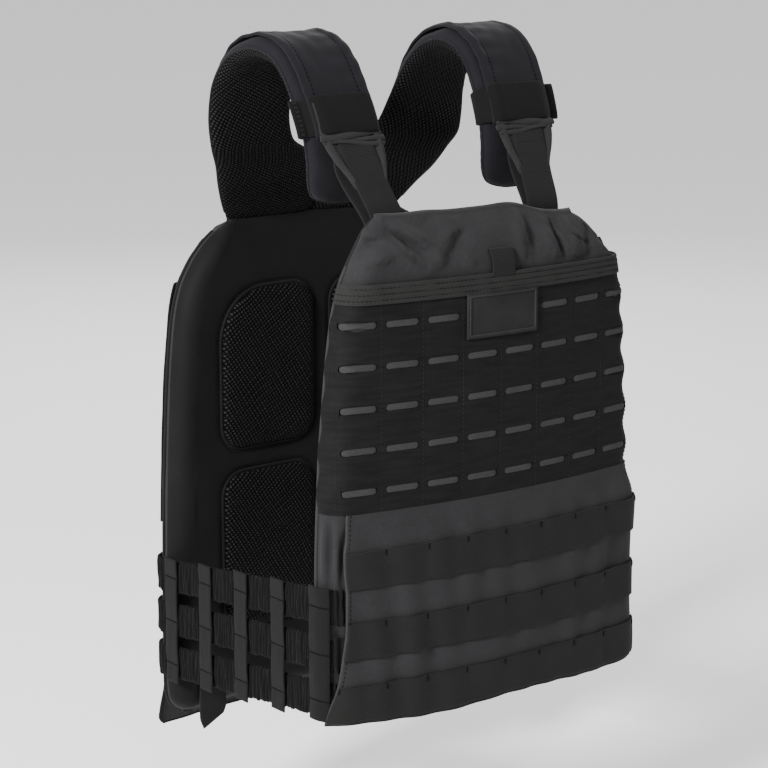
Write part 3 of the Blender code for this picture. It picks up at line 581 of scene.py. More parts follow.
def sheet_layers(grid, outward, thick, closed=False):
    """The two sides of a sheet with a rounded border. The grid is its inner side."""
    normals = grid_normals(grid, outward, closed)
    half = np.asarray(thick) / 2 * np.ones(grid.shape[:2])
    middle = grid + normals * half[..., None]
    rows, cols = grid.shape[:2]
    row_at, row_reach, row_swell = rounded_border(rows, False)
    col_at, col_reach, col_swell = rounded_border(cols, closed)
    row_way = np.zeros((len(row_at), cols, 3))
    row_way[:2] = unit(middle[0] - middle[1])
    row_way[-2:] = unit(middle[-1] - middle[-2])
    col_way = np.zeros((rows, len(col_at), 3))
    if not closed:
        col_way[:, :2] = unit(middle[:, 0] - middle[:, 1])[:, None]
        col_way[:, -2:] = unit(middle[:, -1] - middle[:, -2])[:, None]
    thin = half[row_at][:, col_at][..., None]
    base = middle[row_at][:, col_at]
    base = base + thin * (row_reach[:, None, None] * row_way[:, col_at]
                          + col_reach[None, :, None] * col_way[row_at])
    swell = thin * (row_swell[:, None] * col_swell[None, :])[..., None]
    lift = normals[row_at][:, col_at] * swell
    return base + lift, base - lift


def sheet(name, grid, outward, thick, finish, closed=False):
    outer, inner = sheet_layers(grid, np.asarray(outward, float), thick, closed)
    return two_faced(name, outer, inner, [finish], closed)


def rod(name, path, wide, thick, finish, normals=None, steps=4):
    """A cord, or a flat binding, along a path, with rounded ends."""
    path = np.asarray(path, float)
    run = unit(np.gradient(path, axis=0))
    up = np.broadcast_to(np.array([0.0, -1.0, 0.2]), path.shape) if normals is None else normals
    side = unit(np.cross(run, up))
    up = unit(np.cross(side, run))
    ends = np.concatenate([[0, 0], np.arange(len(path)), [-1, -1]])
    scale = np.concatenate([ROUND_SWELL, np.ones(len(path)), ROUND_SWELL[::-1]])
    shift = np.concatenate([-np.array(ROUND_REACH), np.zeros(len(path)), ROUND_REACH[::-1]])
    wide = (np.ones(len(path)) * wide)[ends] * scale
    thick = (np.ones(len(path)) * thick)[ends]
    base = path[ends] + run[ends] * (shift * thick)[:, None]
    angle = np.linspace(pi, 0, steps + 1)
    across = side[ends][:, None] * (wide[:, None] * np.cos(angle))[..., None]
    above = up[ends][:, None] * ((thick * scale)[:, None] * np.sin(angle))[..., None]
    return two_faced(name, base[:, None] + across + above, base[:, None] + across - above,
                     [finish])


def place(obj, slot, *nodes):
    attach(obj, "root")
    if nodes:
        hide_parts(*nodes)
    return obj


# Stitches

def stitch_tree():
    """Short rounded threads, one after the other along every line of a curve object."""
    tree = bpy.data.node_groups.new("stitches", "GeometryNodeTree")
    tree.interface.new_socket("Lines", in_out="INPUT", socket_type="NodeSocketGeometry")
    for label in ("Pitch", "Length", "Thickness"):
        tree.interface.new_socket(label, in_out="INPUT", socket_type="NodeSocketFloat")
    tree.interface.new_socket("Thread", in_out="INPUT", socket_type="NodeSocketMaterial")
    tree.interface.new_socket("Stitches", in_out="OUTPUT", socket_type="NodeSocketGeometry")
    start = tree.nodes.new("NodeGroupInput")
    end = tree.nodes.new("NodeGroupOutput")
    dots = tree.nodes.new("GeometryNodeCurveToPoints")
    dots.mode = "LENGTH"
    thread = tree.nodes.new("GeometryNodeMeshIcoSphere")
    thread.inputs["Radius"].default_value = 1.0
    thread.inputs["Subdivisions"].default_value = 1
    turn = tree.nodes.new("FunctionNodeAlignRotationToVector")
    turn.axis = "Z"
    half = tree.nodes.new("ShaderNodeMath")
    half.operation = "MULTIPLY"
    half.inputs[1].default_value = 0.5
    size = tree.nodes.new("ShaderNodeCombineXYZ")
    put = tree.nodes.new("GeometryNodeInstanceOnPoints")
    real = tree.nodes.new("GeometryNodeRealizeInstances")
    soft = tree.nodes.new("GeometryNodeSetShadeSmooth")
    paint = tree.nodes.new("GeometryNodeSetMaterial")
    links = (
        (start.outputs["Lines"], dots.inputs["Curve"]),
        (start.outputs["Pitch"], dots.inputs["Length"]),
        (dots.outputs["Tangent"], turn.inputs["Vector"]),
        (start.outputs["Length"], half.inputs[0]),
        (start.outputs["Thickness"], size.inputs["X"]),
        (start.outputs["Thickness"], size.inputs["Y"]),
        (half.outputs[0], size.inputs["Z"]),
        (dots.outputs["Points"], put.inputs["Points"]),
        (thread.outputs["Mesh"], put.inputs["Instance"]),
        (turn.outputs["Rotation"], put.inputs["Rotation"]),
        (size.outputs["Vector"], put.inputs["Scale"]),
        (put.outputs["Instances"], real.inputs["Geometry"]),
        (real.outputs["Geometry"], soft.inputs["Geometry"]),
        (soft.outputs["Geometry"], paint.inputs["Geometry"]),
        (start.outputs["Thread"], paint.inputs["Material"]),
        (paint.outputs["Geometry"], end.inputs["Stitches"]),
    )
    for source, target in links:
        tree.links.new(source, target)
    return tree


STITCHES = stitch_tree()


def stitches(name, lines, finish, slot="cloth", sewing=PLAIN_SEWING):
    """One mesh of the stitches along several lines of points."""
    curve = bpy.data.curves.new(name, "CURVE")
    curve.dimensions = "3D"
    for line in lines:
        spline = curve.splines.new("POLY")
        spline.points.add(len(line) - 1)
        spline.points.foreach_set("co", np.c_[line, np.ones(len(line))].ravel())
    guide = bpy.data.objects.new(name + "_lines", curve)
    bpy.context.scene.collection.objects.link(guide)
    maker = guide.modifiers.new("stitches", "NODES")
    maker.node_group = STITCHES
    inputs = {item.name: item.identifier for item in STITCHES.interface.items_tree
              if item.in_out == "INPUT"}
    maker[inputs["Pitch"]] = sewing.pitch
    maker[inputs["Length"]] = sewing.length
    maker[inputs["Thickness"]] = sewing.thick
    maker[inputs["Thread"]] = finish
    bpy.context.view_layer.update()
    made = guide.evaluated_get(bpy.context.evaluated_depsgraph_get())
    mesh = bpy.data.meshes.new_from_object(made)
    mesh.name = name
    bpy.data.objects.remove(guide)
    obj = bpy.data.objects.new(name, mesh)
    bpy.context.scene.collection.objects.link(obj)
    return place(obj, slot)


# Finishes

class Wire:
    """A socket of a material's nodes. Sums on wires add the Math nodes that work them out."""

    def __init__(self, tree, socket=None):
        self.tree = tree
        self.socket = socket

    def node(self, kind, settings, values, output=0):
        made = self.tree.nodes.new(kind)
        for key, setting in settings.items():
            setattr(made, key, setting)
        for key, value in values.items():
            if isinstance(value, Wire):
                self.tree.links.new(value.socket, made.inputs[key])
            else:
                made.inputs[key].default_value = value
        return Wire(self.tree, made.outputs[output])

    def math(self, operation, *values):
        return self.node("ShaderNodeMath", {"operation": operation}, dict(enumerate(values)))

    def __add__(self, other):
        return self.math("ADD", self, other)

    def __radd__(self, other):
        return self.math("ADD", other, self)

    def __sub__(self, other):
        return self.math("SUBTRACT", self, other)

    def __rsub__(self, other):
        return self.math("SUBTRACT", other, self)

    def __mul__(self, other):
        return self.math("MULTIPLY", self, other)

    def __rmul__(self, other):
        return self.math("MULTIPLY", other, self)

    def wave(self, length):
        """A wave of 0 to 1 with this wavelength."""
        return self.math("SINE", self * (tau / length)) * 0.5 + 0.5

    def stepped(self, low, high):
        """0 below low, 1 above high, and a soft edge between."""
        return self.node("ShaderNodeMapRange", {"interpolation_type": "SMOOTHSTEP"},
                         {"Value": self, "From Min": low, "From Max": high})

    def blend(self, first, second):
        """A colour between two, by this wire."""
        return self.node("ShaderNodeMix", {"data_type": "RGBA"}, {0: self, 6: first, 7: second},
                         output=2)


ALBEDO = 0.30
SHINE = 0.04
# Sizes of the grains and of the broad unevenness in the finishes
CLOTH_GRAIN = 0.0016
CLOTH_BROAD = 0.030
WEB_GRAIN = 0.0011
WEB_BROAD = 0.022
MESH_BROAD = 0.020
MESH_WANDER = 0.045
MESH_WANDER_DEPTH = 0.006
MESH_DEPTH = 0.0014
# Level of the painted shade in the open cells between the mesh's ribs
MESH_HOLE_SHADE = 7
PLAIN_BROAD = 0.035
STREAK_SIZE = 0.0035
STREAK_SQUEEZE = 0.12


def shade(level, warm=0.0):
    """A near-black as a linear colour, from its screen level of 0 to 255. Warm ones have more
    red and less blue, cool ones more blue and a little more red."""
    linear = ALBEDO * ((level / 255 + 0.055) / 1.055) ** 2.4
    return (linear * (1 + max(warm, -0.3 * warm)), linear, linear * (1 - warm), 1.0)


def finish_nodes(name, roughness, sheen=0.0):
    """A material, its node tree and its shader."""
    finish = bpy.data.materials.new(name)
    finish.use_nodes = True
    tree = finish.node_tree
    shader = tree.nodes["Principled BSDF"]
    shader.inputs["Roughness"].default_value = roughness
    shader.inputs["Sheen Weight"].default_value = sheen
    shader.inputs["Specular IOR Level"].default_value = SHINE
    return finish, tree, shader


def surface_place(tree):
    """Distances across and along the cloth, and the place in the object."""
    root = Wire(tree)
    spot = root.node("ShaderNodeUVMap", {"uv_map": "weave"}, {})
    u = root.node("ShaderNodeSeparateXYZ", {}, {0: spot}, 0)
    v = root.node("ShaderNodeSeparateXYZ", {}, {0: spot}, 1)
    where = root.node("ShaderNodeTexCoord", {}, {}, "Object")
    return u, v, where


def noise(tree, where, size, detail):
    return Wire(tree).node("ShaderNodeTexNoise", {}, {"Vector": where, "Scale": 1 / size,
                                                      "Detail": detail})


def finished(tree, shader, colour, height, depth, roughness=None):
    bump = Wire(tree).node("ShaderNodeBump", {}, {"Height": height, "Distance": depth,
                                                  "Strength": 1.0})
    tree.links.new(colour.socket, shader.inputs["Base Color"])
    tree.links.new(bump.socket, shader.inputs["Normal"])
    if roughness is not None:
        tree.links.new(roughness.socket, shader.inputs["Roughness"])


def woven(name, level, warm=0.0, pitch=0.00065, depth=0.00010, roughness=0.80, sheen=0.04,
          uneven=0.16):
    """Plain woven cloth: crossing threads, a grain and faint broad unevenness."""
    finish, tree, shader = finish_nodes(name, roughness, sheen)
    u, v, where = surface_place(tree)
    over, under = u.wave(2 * pitch), v.wave(2 * pitch)
    threads = over * under + (1 - over) * (1 - under)
    grain = noise(tree, where, CLOTH_GRAIN, 3.0)
    broad = noise(tree, where, CLOTH_BROAD, 3.0)
    tone = threads * 0.25 + grain * 0.45 + broad * 0.30
    colour = tone.stepped(0.2, 0.8).blend(shade(level * (1 - uneven), warm),
                                          shade(level * (1 + uneven), warm))
    rough = broad * 0.14 + (roughness - 0.07)
    finished(tree, shader, colour, threads * 0.6 + grain * 0.8, depth, rough)
    return finish


def ribbed(name, level, warm, rib, depth, roughness=0.78, along=False):
    """Webbing: close ribs across it, with the threads of each rib twilled."""
    finish, tree, shader = finish_nodes(name, roughness, 0.03)
    u, v, where = surface_place(tree)
    if along:
        u, v = v, u
    twill = (u * 1.6 + v).wave(rib * 1.4)
    ribs = v.wave(rib)
    grain = noise(tree, where, WEB_GRAIN, 2.0)
    broad = noise(tree, where, WEB_BROAD, 3.0)
    tone = ribs * 0.35 + twill * 0.15 + grain * 0.25 + broad * 0.25
    colour = tone.stepped(0.2, 0.8).blend(shade(level * 0.78, warm), shade(level * 1.20, warm))
    rough = broad * 0.16 + (roughness - 0.08)
    finished(tree, shader, colour, ribs * 0.7 + twill * 0.4 + grain * 0.4, depth, rough)
    return finish


def spacer_mesh(name, level):
    """Spacer mesh: slanting ribs broken into cells, with painted shade as the near-black ground
    in the open cells.
    """
    finish, tree, shader = finish_nodes(name, 0.72, 0.01)
    u, v, where = surface_place(tree)
    bend = noise(tree, where, MESH_WANDER, 1.0) * MESH_WANDER_DEPTH
    slant = (u + v * MESH_SLANT + bend).wave(MESH_CELL)
    breaks = (v - u * MESH_SLANT + bend).wave(MESH_CELL)
    threads = (slant * breaks).stepped(0.06, 0.55)
    broad = noise(tree, where, MESH_BROAD, 2.0)
    # The ribs are the mesh's own; the near-black ground is painted shade inside the open cells
    colour = (threads * (broad * 0.5 + 0.7)).blend(shade(MESH_HOLE_SHADE), shade(level * 2))
    finished(tree, shader, colour, threads, MESH_DEPTH)
    return finish


def plain_finish(name, level, warm, roughness, grain_size, depth, sheen=0.0, uneven=0.14,
                 streak=0.0):
    """A close surface with a fine grain, and with long faint streaks across: laminate,
    lining, rubber or thread."""
    finish, tree, shader = finish_nodes(name, roughness, sheen)
    u, v, where = surface_place(tree)
    grain = noise(tree, where, grain_size, 3.0)
    broad = noise(tree, where, PLAIN_BROAD, 3.0)
    tone = grain * 0.5 + broad * 0.5
    if streak:
        drawn = Wire(tree).node("ShaderNodeCombineXYZ", {}, {0: u * STREAK_SQUEEZE, 1: v})
        tone = tone * (1 - streak) + noise(tree, drawn, STREAK_SIZE, 4.0) * streak
    colour = tone.stepped(0.25, 0.75).blend(shade(level * (1 - uneven), warm),
                                            shade(level * (1 + uneven), warm))
    rough = broad * 0.18 + (roughness - 0.09)
    finished(tree, shader, colour, grain, depth, rough)
    return finish


CLOTH = woven("cloth", 63, warm=-0.06)
# Painted highlight: the carrier's cloth, painted lighter where it swells into the slots and
# catches the key light
LIT_SLOT_CLOTH = woven("lit_slot_cloth", 76, warm=-0.04)
PAD_CLOTH = woven("pad_cloth", 40, warm=-0.26, pitch=0.0005, depth=0.00008)
FOLD_CLOTH = woven("fold_cloth", 60, warm=-0.06)
LEAF_CLOTH = woven("leaf_cloth", 60)
LINING = plain_finish("lining", 37, -0.02, 0.62, 0.0009, 0.00005, sheen=0.02)
LAMINATE = plain_finish("laminate", 38, -0.05, 0.70, 0.0011, 0.00012, sheen=0.01, uneven=0.22,
                        streak=0.5)
WEBBING = ribbed("webbing", 48, 0.015, 0.0012, 0.00016)
STRIP_WEBBING = ribbed("strip_webbing", 37, 0.01, 0.0011, 0.00014, along=True)
TAPE = ribbed("tape", 60, 0.02, 0.0010, 0.00012, along=True)
ELASTIC = ribbed("elastic", 31, 0.01, 0.0009, 0.00010, along=True)
MESH = spacer_mesh("mesh", 33)
RUBBER = plain_finish("rubber", 55, 0.0, 0.55, 0.0006, 0.00010, uneven=0.25)
PATCH_RIM = plain_finish("patch_rim", 70, 0.0, 0.50, 0.0006, 0.00004)
THREAD = plain_finish("thread", 58, 0.02, 0.55, 0.0004, 0.00002)
DARK_THREAD = plain_finish("dark_thread", 22, 0.02, 0.60, 0.0004, 0.00002)
# Painted highlight: the same tape as dark_binding, painted lighter for the key light it catches
# on the front piping and the flap's key-lit edge
LIT_BINDING = ribbed("binding", 74, -0.02, 0.0009, 0.00008)
DARK_BINDING = ribbed("dark_binding", 44, 0.0, 0.0009, 0.00008)


# Carriers

FRONT_MESH = (132, 176)
BACK_MESH = (84, 120)
RIM_COLUMNS = 16
RIM_MIDDLE = 1.5
RIM_EASE = 1.36
CAP_RISE = 0.0030
CAP_STEPS = 4
# Where reliefs start and end, as distances from the edge or the middle that each one names
SLUMP_FROM_TOP = (-0.060, 0.0)
CREASED_FROM_TOP = (-0.050, -0.035)
WRINKLED_FROM_TOP = (-0.035, -0.008)
SLACK_FROM_PANEL = (-0.001, 0.010)
SLACK_FROM_FLAP = (0.002, -0.010)
LEVEL_FROM_MIDDLE = (0.145, 0.12)
CREASE_LENGTH = 0.034
CREASE_SEED = 11
TOP_FOLDED = 1.5
SWELL_LONG = 0.47
SWELL_HIGH = 0.52
SEAM_SINK = 0.0012
SEAM_WIDE = 0.0016
PIPING_START = 0.004
PIPING_PROUD = 0.0004
PIPING_POINTS = 90
FRONT_PIPING_END = 0.036
BACK_PIPING_END = 0.008
BACK_PIPING_AT = 1.42


def round_end(outer, inner, rise):
    """The two sides of a body, with rows after their last ones that join in a round end."""
    middle = (outer[-1] + inner[-1]) / 2
    reach = outer[-1] - middle
    lift = np.array([0, 0, rise])
    turns = [pi / 2 * step / CAP_STEPS for step in range(1, CAP_STEPS + 1)]
    return [np.concatenate([grid, [middle + way * reach * cos(turn) + lift * sin(turn)
                                   for turn in turns]])
            for grid, way in ((outer, 1), (inner, -1))]


def carrier_grids(carrier, cells, relief_out, relief_in, slump):
    """The outer and inner side of a carrier, which meet round the middle of its rim. The
    slump is how far its top sinks at a distance along it."""
    rim = np.linspace(1, RIM_MIDDLE, RIM_COLUMNS + 1)[1:]
    face = np.linspace(-1, 1, cells[0] + 1)
    columns = np.concatenate([-rim[::-1], face, rim])[None]
    z = (carrier.bottom + carrier.height * eased(cells[1]))[:, None]
    along = carrier.along_at(columns, z)
    on_face = 1 - smooth_step(RIM_EASE, RIM_MIDDLE, np.abs(columns))
    outer = carrier.point(columns, z, relief_out(along, z) * on_face)
    radius, middle, turn, _ = carrier.section(z)
    x = (middle - radius) * np.sin(turn) * np.clip(columns, -1, 1)
    behind = np.sign(columns) * (2 * RIM_MIDDLE - np.abs(columns))
    inner = np.where(np.abs(columns)[..., None] <= 1, carrier.inner(x, z, relief_in(x, z)),
                     carrier.point(behind, z))
    sunk = slump(along) * smooth_step(*SLUMP_FROM_TOP, z - carrier.top)
    for grid in (outer, inner):
        grid[..., 2] -= sunk
    outer, inner = round_end(outer, inner, CAP_RISE)
    outer, inner = round_end(outer[::-1], inner[::-1], -CAP_RISE)
    return outer[::-1], inner[::-1]


def slot_places():
    """The middles of the lashing slots: distance along the panel, and height."""
    for row in range(SLOT_ROWS):
        z = FRONT_PANEL_TOP - FIRST_SLOT_DROP - SLOT_PITCH_Z * row
        for number in range(SLOT_COLUMNS):
            along = SLOT_PITCH_X * (number - (SLOT_COLUMNS - 1) / 2)
            if row > 0 or abs(along) > PATCH_WIDTH / 2:
                yield along, z


def front_relief(along, z):
    """Slack cloth above the panel and down the sides, and what swells into the slots."""
    side = np.abs(along) - FRONT.face_length(z)
    below_top = z - FRONT.top
    creases = creased(along, z, CREASE_LENGTH, CREASE_SEED)
    top = (TOP_FOLDED * folded(along, below_top, TOP_FOLDS)
           + creases * smooth_step(*CREASED_FROM_TOP, below_top))
    clear_of_tab = smooth_step(TAB_WIDTH * 0.7, TAB_WIDTH * 1.5, np.abs(along))
    top = top * smooth_step(*SLACK_FROM_PANEL, z - FRONT_PANEL_TOP) * clear_of_tab
    sides = folded(side, below_top, SIDE_FOLDS)
    sides = sides * smooth_step(*SLACK_FROM_FLAP, z - FRONT_FLAP_TOP)
    swell = np.zeros_like(top)
    for middle, height in slot_places():
        swell += np.exp(-np.abs((along - middle) / (SWELL_LONG * SLOT_LENGTH)) ** 6
                        - np.abs((z - height) / (SWELL_HIGH * SLOT_HEIGHT)) ** 3)
    return top + sides + SLOT_BULGE * swell


def front_slump(along):
    """The slack cloth sinks by the left strap, and is a little uneven elsewhere."""
    return (SLUMP * hump(along - SLUMP_AT, SLUMP_REACH)
            + rippled(along, 0, SLUMP_RIPPLE) * smooth_step(*LEVEL_FROM_MIDDLE, np.abs(along)))


def lining_relief(x, z):
    return rippled(x, z, LINING_RIPPLE)


def back_lining_relief(x, z):
    """The lining sinks in a seam round each cushion."""
    depth = rippled(x, z, BACK_LINING_RIPPLE)
    for cushion in cushion_places():
        gap = outside(x - cushion.x, z - cushion.z, cushion.radii)
        depth = depth - SEAM_SINK * hump(gap, SEAM_WIDE)
    return depth


def back_relief(along, z):
    """Soft unevenness, and wrinkles where the straps pull at the top."""
    pulled = smooth_step(*WRINKLED_FROM_TOP, z - BACK.top)
    return rippled(along, z, BACK_RIPPLE) + pulled * rippled(along, z, BACK_WRINKLE)


def outside(x, z, radii):
    """Distance outside a rounded rectangle of a cushion's size, drawn a little larger."""
    radius = np.where(x > 0, np.where(z > 0, radii[1], radii[0]),
                      np.where(z > 0, radii[2], radii[3]))
    over_x = np.abs(x) - (CUSHION_WIDTH / 2 + CUSHION_SEAM - radius)
    over_z = np.abs(z) - (CUSHION_HEIGHT / 2 + CUSHION_SEAM - radius)
    rounding = np.hypot(np.maximum(over_x, 0), np.maximum(over_z, 0))
    return rounding + np.minimum(np.maximum(over_x, over_z), 0) - radius


def carrier_body(name, carrier, cells, relief_out, relief_in, slump):
    """A carrier's padded body, with cloth outside and lining inside."""
    outer, inner = carrier_grids(carrier, cells, relief_out, relief_in, slump)
    body = two_faced(f"{name}_body", outer, inner, [CLOTH, LINING])
    place(body, "cloth", f"{name}_carrier")


def piping(name, carrier, column, end_drop, finish):
    """A cord of cloth up each rim of a carrier, along one of its columns."""
    z = np.linspace(carrier.bottom + PIPING_START, carrier.top - end_drop, PIPING_POINTS)
    for side, label in SIDES:
        path = carrier.point(np.full_like(z, side * column), z, PIPING_PROUD)
        place(rod(f"{name}_piping_{label}", path, PIPING, PIPING, finish), "webbing")


def carriers():
    carrier_body("front", FRONT, FRONT_MESH, front_relief, lining_relief, front_slump)
    # The front piping takes the binding painted lighter, a painted highlight
    piping("front", FRONT, RIM_MIDDLE, FRONT_PIPING_END, LIT_BINDING)
    carrier_body("back", BACK, BACK_MESH, back_relief, back_lining_relief, np.zeros_like)
    piping("back", BACK, BACK_PIPING_AT, BACK_PIPING_END, DARK_BINDING)


# Front panel

ON_PANEL = SEAT + PANEL_THICK + SEAT
EDGE_WAVE = 0.0013
RIM_WAVE_FROM = (-0.004, 0.012)
BILLOW_FULL_DROP = 0.030
HEM_FADE = 0.008
PATCH_FADE = 0.012
BELOW_PATCH = (-0.056, -0.066)
SEAM_NUMBERS = range(-SLOT_COLUMNS // 2, SLOT_COLUMNS // 2 + 1)
CORNER_POINTS = 5
PANEL_EDGE_POINTS = 40
PANEL_HEM_POINTS = 90
PANEL_CELL_WIDE = SLOT_PITCH_X / 12
PANEL_CELL_HIGH = 0.0036
PANEL_CELLS = 54
BORDER_CLEAR = 0.0018
SLOT_CLEAR = 0.0012
CUT_TOLERANCE = 1e-6
CRISP_ANGLE = radians(50)
PILL_SUNK = 0.0003
PILL_PROFILE = ((0.97, 0.0), (0.96, 0.70), (0.90, 0.92), (0.78, 1.0), (0.50, 1.08), (0.22, 1.12))
STITCH_STEP = 0.002
TAPE_SEAMS = (0.0026, 0.0072, 0.0118)
TAPE_SEAM_DEEP = 0.0005
TAPE_SEAM_WIDE = 0.0007
PATCH_EDGE = 0.0016
PATCH_SINK = 0.0008
PATCH_SINK_FROM = (0.0014, 0.0026)
PATCH_RIM_SIZE = (0.0008, 0.0005)
TAB_LAYERS = 0.0014
TAB_FOLD = 0.0012
TAB_BULGE_BEHIND = 0.0008
TAB_BULGE_AHEAD = 0.0010
TAB_CLOTH = 0.0010
TAB_POINTS = 12


def panel_billow(along, z):
    """How far the panel stands out between its lines of stitches."""
    drop = z - FRONT_PANEL_TOP
    between = np.abs(np.sin(pi * along / SLOT_PITCH_X)) ** 0.7
    uneven = 0.75 + rippled(along, z, PANEL_RIPPLE)
    below_tape = smooth_step(-TAPE_HEIGHT, -BILLOW_FULL_DROP, drop)
    above_hem = smooth_step(-PANEL_HEIGHT, HEM_FADE - PANEL_HEIGHT, drop)
    beside_patch = smooth_step(PATCH_WIDTH / 2, PATCH_WIDTH / 2 + PATCH_FADE, np.abs(along))
    clear_of_patch = np.maximum(beside_patch, smooth_step(*BELOW_PATCH, drop))
    rows = np.cos(tau * (drop + FIRST_SLOT_DROP) / SLOT_PITCH_Z)
    on_rim = smooth_step(*RIM_WAVE_FROM, np.abs(along) - FRONT.face_length(z))
    return (BILLOW * between * uneven * below_tape * above_hem * clear_of_patch
            + EDGE_WAVE * rows * on_rim * below_tape)


def panel_columns(count, reach=PANEL_REACH):
    return np.linspace(-1 - reach, 1 + reach, count)


def on_front(along, z, out):
    return FRONT.point(FRONT.column_at(along, z), z, out)


def rounded_slot(middle, height):
    """Points round a slot with round corners, anticlockwise from its lower right."""
    points = []
    for quarter in range(4):
        turn_x = 1 if quarter in (0, 3) else -1
        turn_z = 1 if quarter in (0, 1) else -1
        x = middle + turn_x * (SLOT_LENGTH / 2 - SLOT_ROUND)
        z = height + turn_z * (SLOT_HEIGHT / 2 - SLOT_ROUND)
        for step in range(CORNER_POINTS):
            angle = pi / 2 * (quarter + step / (CORNER_POINTS - 1))
            points.append((x + SLOT_ROUND * cos(angle), z + SLOT_ROUND * sin(angle)))
    return points


def in_slot(x, z, margin):
    hit = np.zeros(np.shape(x), bool)
    for middle, height in slot_places():
        hit |= ((np.abs(x - middle) < SLOT_LENGTH / 2 + margin)
                & (np.abs(z - height) < SLOT_HEIGHT / 2 + margin))
    return hit


def panel_cut(bottom, top):
    """The panel as a flat cut with its slots: points, and triangles between them."""
    edge_z = np.linspace(bottom, top, PANEL_EDGE_POINTS)
    edge = FRONT.along_at(1 + PANEL_REACH, edge_z)
    hem = np.linspace(-1, 1, PANEL_HEM_POINTS)[:-1]
    border = np.concatenate([
        np.c_[edge[:-1], edge_z[:-1]],
        np.c_[edge[-1] * -hem, np.full_like(hem, top)],
        np.c_[-edge[:0:-1], edge_z[:0:-1]],
        np.c_[edge[0] * hem, np.full_like(hem, bottom)],
    ])
    rings = [list(map(tuple, border))] + [rounded_slot(*spot) for spot in slot_places()]
    x, z = np.meshgrid(np.arange(-PANEL_CELLS, PANEL_CELLS + 1) * PANEL_CELL_WIDE,
                       np.arange(bottom, top, PANEL_CELL_HIGH)[1:])
    reach = FRONT.along_at(1 + PANEL_REACH, z)
    keep = ((np.abs(x) < reach - BORDER_CLEAR) & (z < top - BORDER_CLEAR)
            & ~in_slot(x, z, SLOT_CLEAR))
    flat = [point for ring in rings for point in ring] + list(zip(x[keep], z[keep]))
    loops, first = [], 0
    for ring in rings:
        loops.append(list(range(first, first + len(ring))))
        first += len(ring)
    edges = [(a, b) for loop in loops for a, b in zip(loop, loop[1:] + loop[:1])]
    cut, _, triangles, *_ = delaunay_2d_cdt([Vector(p) for p in flat], edges, [loops[0]], 1,
                                            CUT_TOLERANCE)
    cut = np.array([tuple(p) for p in cut])
    triangles = np.array(triangles)
    centre = cut[triangles].mean(axis=1)
    return cut, triangles[~in_slot(centre[:, 0], centre[:, 1], -0.0001)]


def slotted_panel():
    """The flat cut, laid on the carrier and given its thickness."""
    top = FRONT_PANEL_TOP
    bottom = top - PANEL_HEIGHT
    cut, triangles = panel_cut(bottom, top)
    out = SEAT + panel_billow(cut[:, 0], cut[:, 1])
    outer = on_front(cut[:, 0], cut[:, 1], out + PANEL_THICK)
    inner = on_front(cut[:, 0], cut[:, 1], out)
    sides = np.concatenate([triangles[:, [0, 1]], triangles[:, [1, 2]], triangles[:, [2, 0]]])
    _, where, times = np.unique(np.sort(sides, axis=1), axis=0, return_index=True,
                                return_counts=True)
    rim = sides[where[times == 1]]
    count = len(cut)
    walls = np.concatenate([np.c_[rim[:, 1], rim[:, 0], rim[:, 0] + count],
                            np.c_[rim[:, 1], rim[:, 0] + count, rim[:, 1] + count]])
    faces = np.concatenate([triangles, triangles[:, ::-1] + count, walls])
    panel = new_piece("front_panel", np.concatenate([outer, inner]), faces, [LAMINATE],
                      np.concatenate([cut, cut])[faces])
    crisp = panel.modifiers.new("crisp cuts", "EDGE_SPLIT")
    crisp.split_angle = CRISP_ANGLE
    place(panel, "laminate", "slotted_panel")
    flat_grid = FRONT.point(panel_columns(60)[None], np.linspace(bottom, top, 30)[:, None], SEAT)


def lit_slot_cloth():
    """The cloth swelling into the slots, painted lighter as a painted highlight for the key
    light.
    """
    points, faces, flats, first = [], [], [], 0
    for middle, height in slot_places():
        def in_place(flat, out):
            along, z = middle + flat[:, 0], height + flat[:, 1]
            deep = panel_billow(along, z) + PANEL_THICK
            return on_front(along, z, SEAT + deep * out - PILL_SUNK)

        outline = np.array(rounded_slot(middle, height)) - (middle, height)
        made, split, flat = dome(outline, PILL_PROFILE, in_place)
        points.append(made)
        faces.append(split + first)
        flats.append(flat + (middle, height))
        first += len(made)
    fill = new_piece("lit_slot_cloth", np.concatenate(points), np.concatenate(faces), [LIT_SLOT_CLOTH],
                     np.concatenate(flats))
    place(fill, "cloth")


def panel_stitches():
    """Upright lines sewn down between the slots, the middle one only below the patch."""
    top = FRONT_PANEL_TOP
    lines = []
    for number in SEAM_NUMBERS:
        z = np.arange(top - PANEL_HEIGHT + STITCH_STEP, top - TAPE_HEIGHT, STITCH_STEP)
        if number == 0:
            z = z[z < top - TAPE_HEIGHT - PATCH_HEIGHT - STITCH_STEP]
        along = np.full_like(z, number * SLOT_PITCH_X)
        out = SEAT + PANEL_THICK + panel_billow(along, z) + PLAIN_SEWING.thick * 0.3
        lines.append(on_front(along, z, out))
    stitches("panel_stitches", lines, THREAD)


def panel_tape():
    top = FRONT_PANEL_TOP
    z = np.linspace(top - TAPE_HEIGHT, top, 15)[:, None]
    columns = panel_columns(150)[None]
    seams = sum(hump(top - z - line, TAPE_SEAM_WIDE) for line in TAPE_SEAMS)
    out = ON_PANEL - TAPE_SEAM_DEEP * seams
    out = out + rippled(FRONT.along_at(columns, z), z, TAPE_RIPPLE)
    tape = sheet("top_tape", FRONT.point(columns, z, out), (0, -1, 0), TAPE_THICK, TAPE)
    place(tape, "webbing", "panel_tape")
    columns = panel_columns(160)
    lines = [FRONT.point(columns, np.full_like(columns, top - line),
                         ON_PANEL + TAPE_THICK - 0.0003) for line in TAPE_SEAMS]
    stitches("tape_stitches", lines, DARK_THREAD, "webbing")


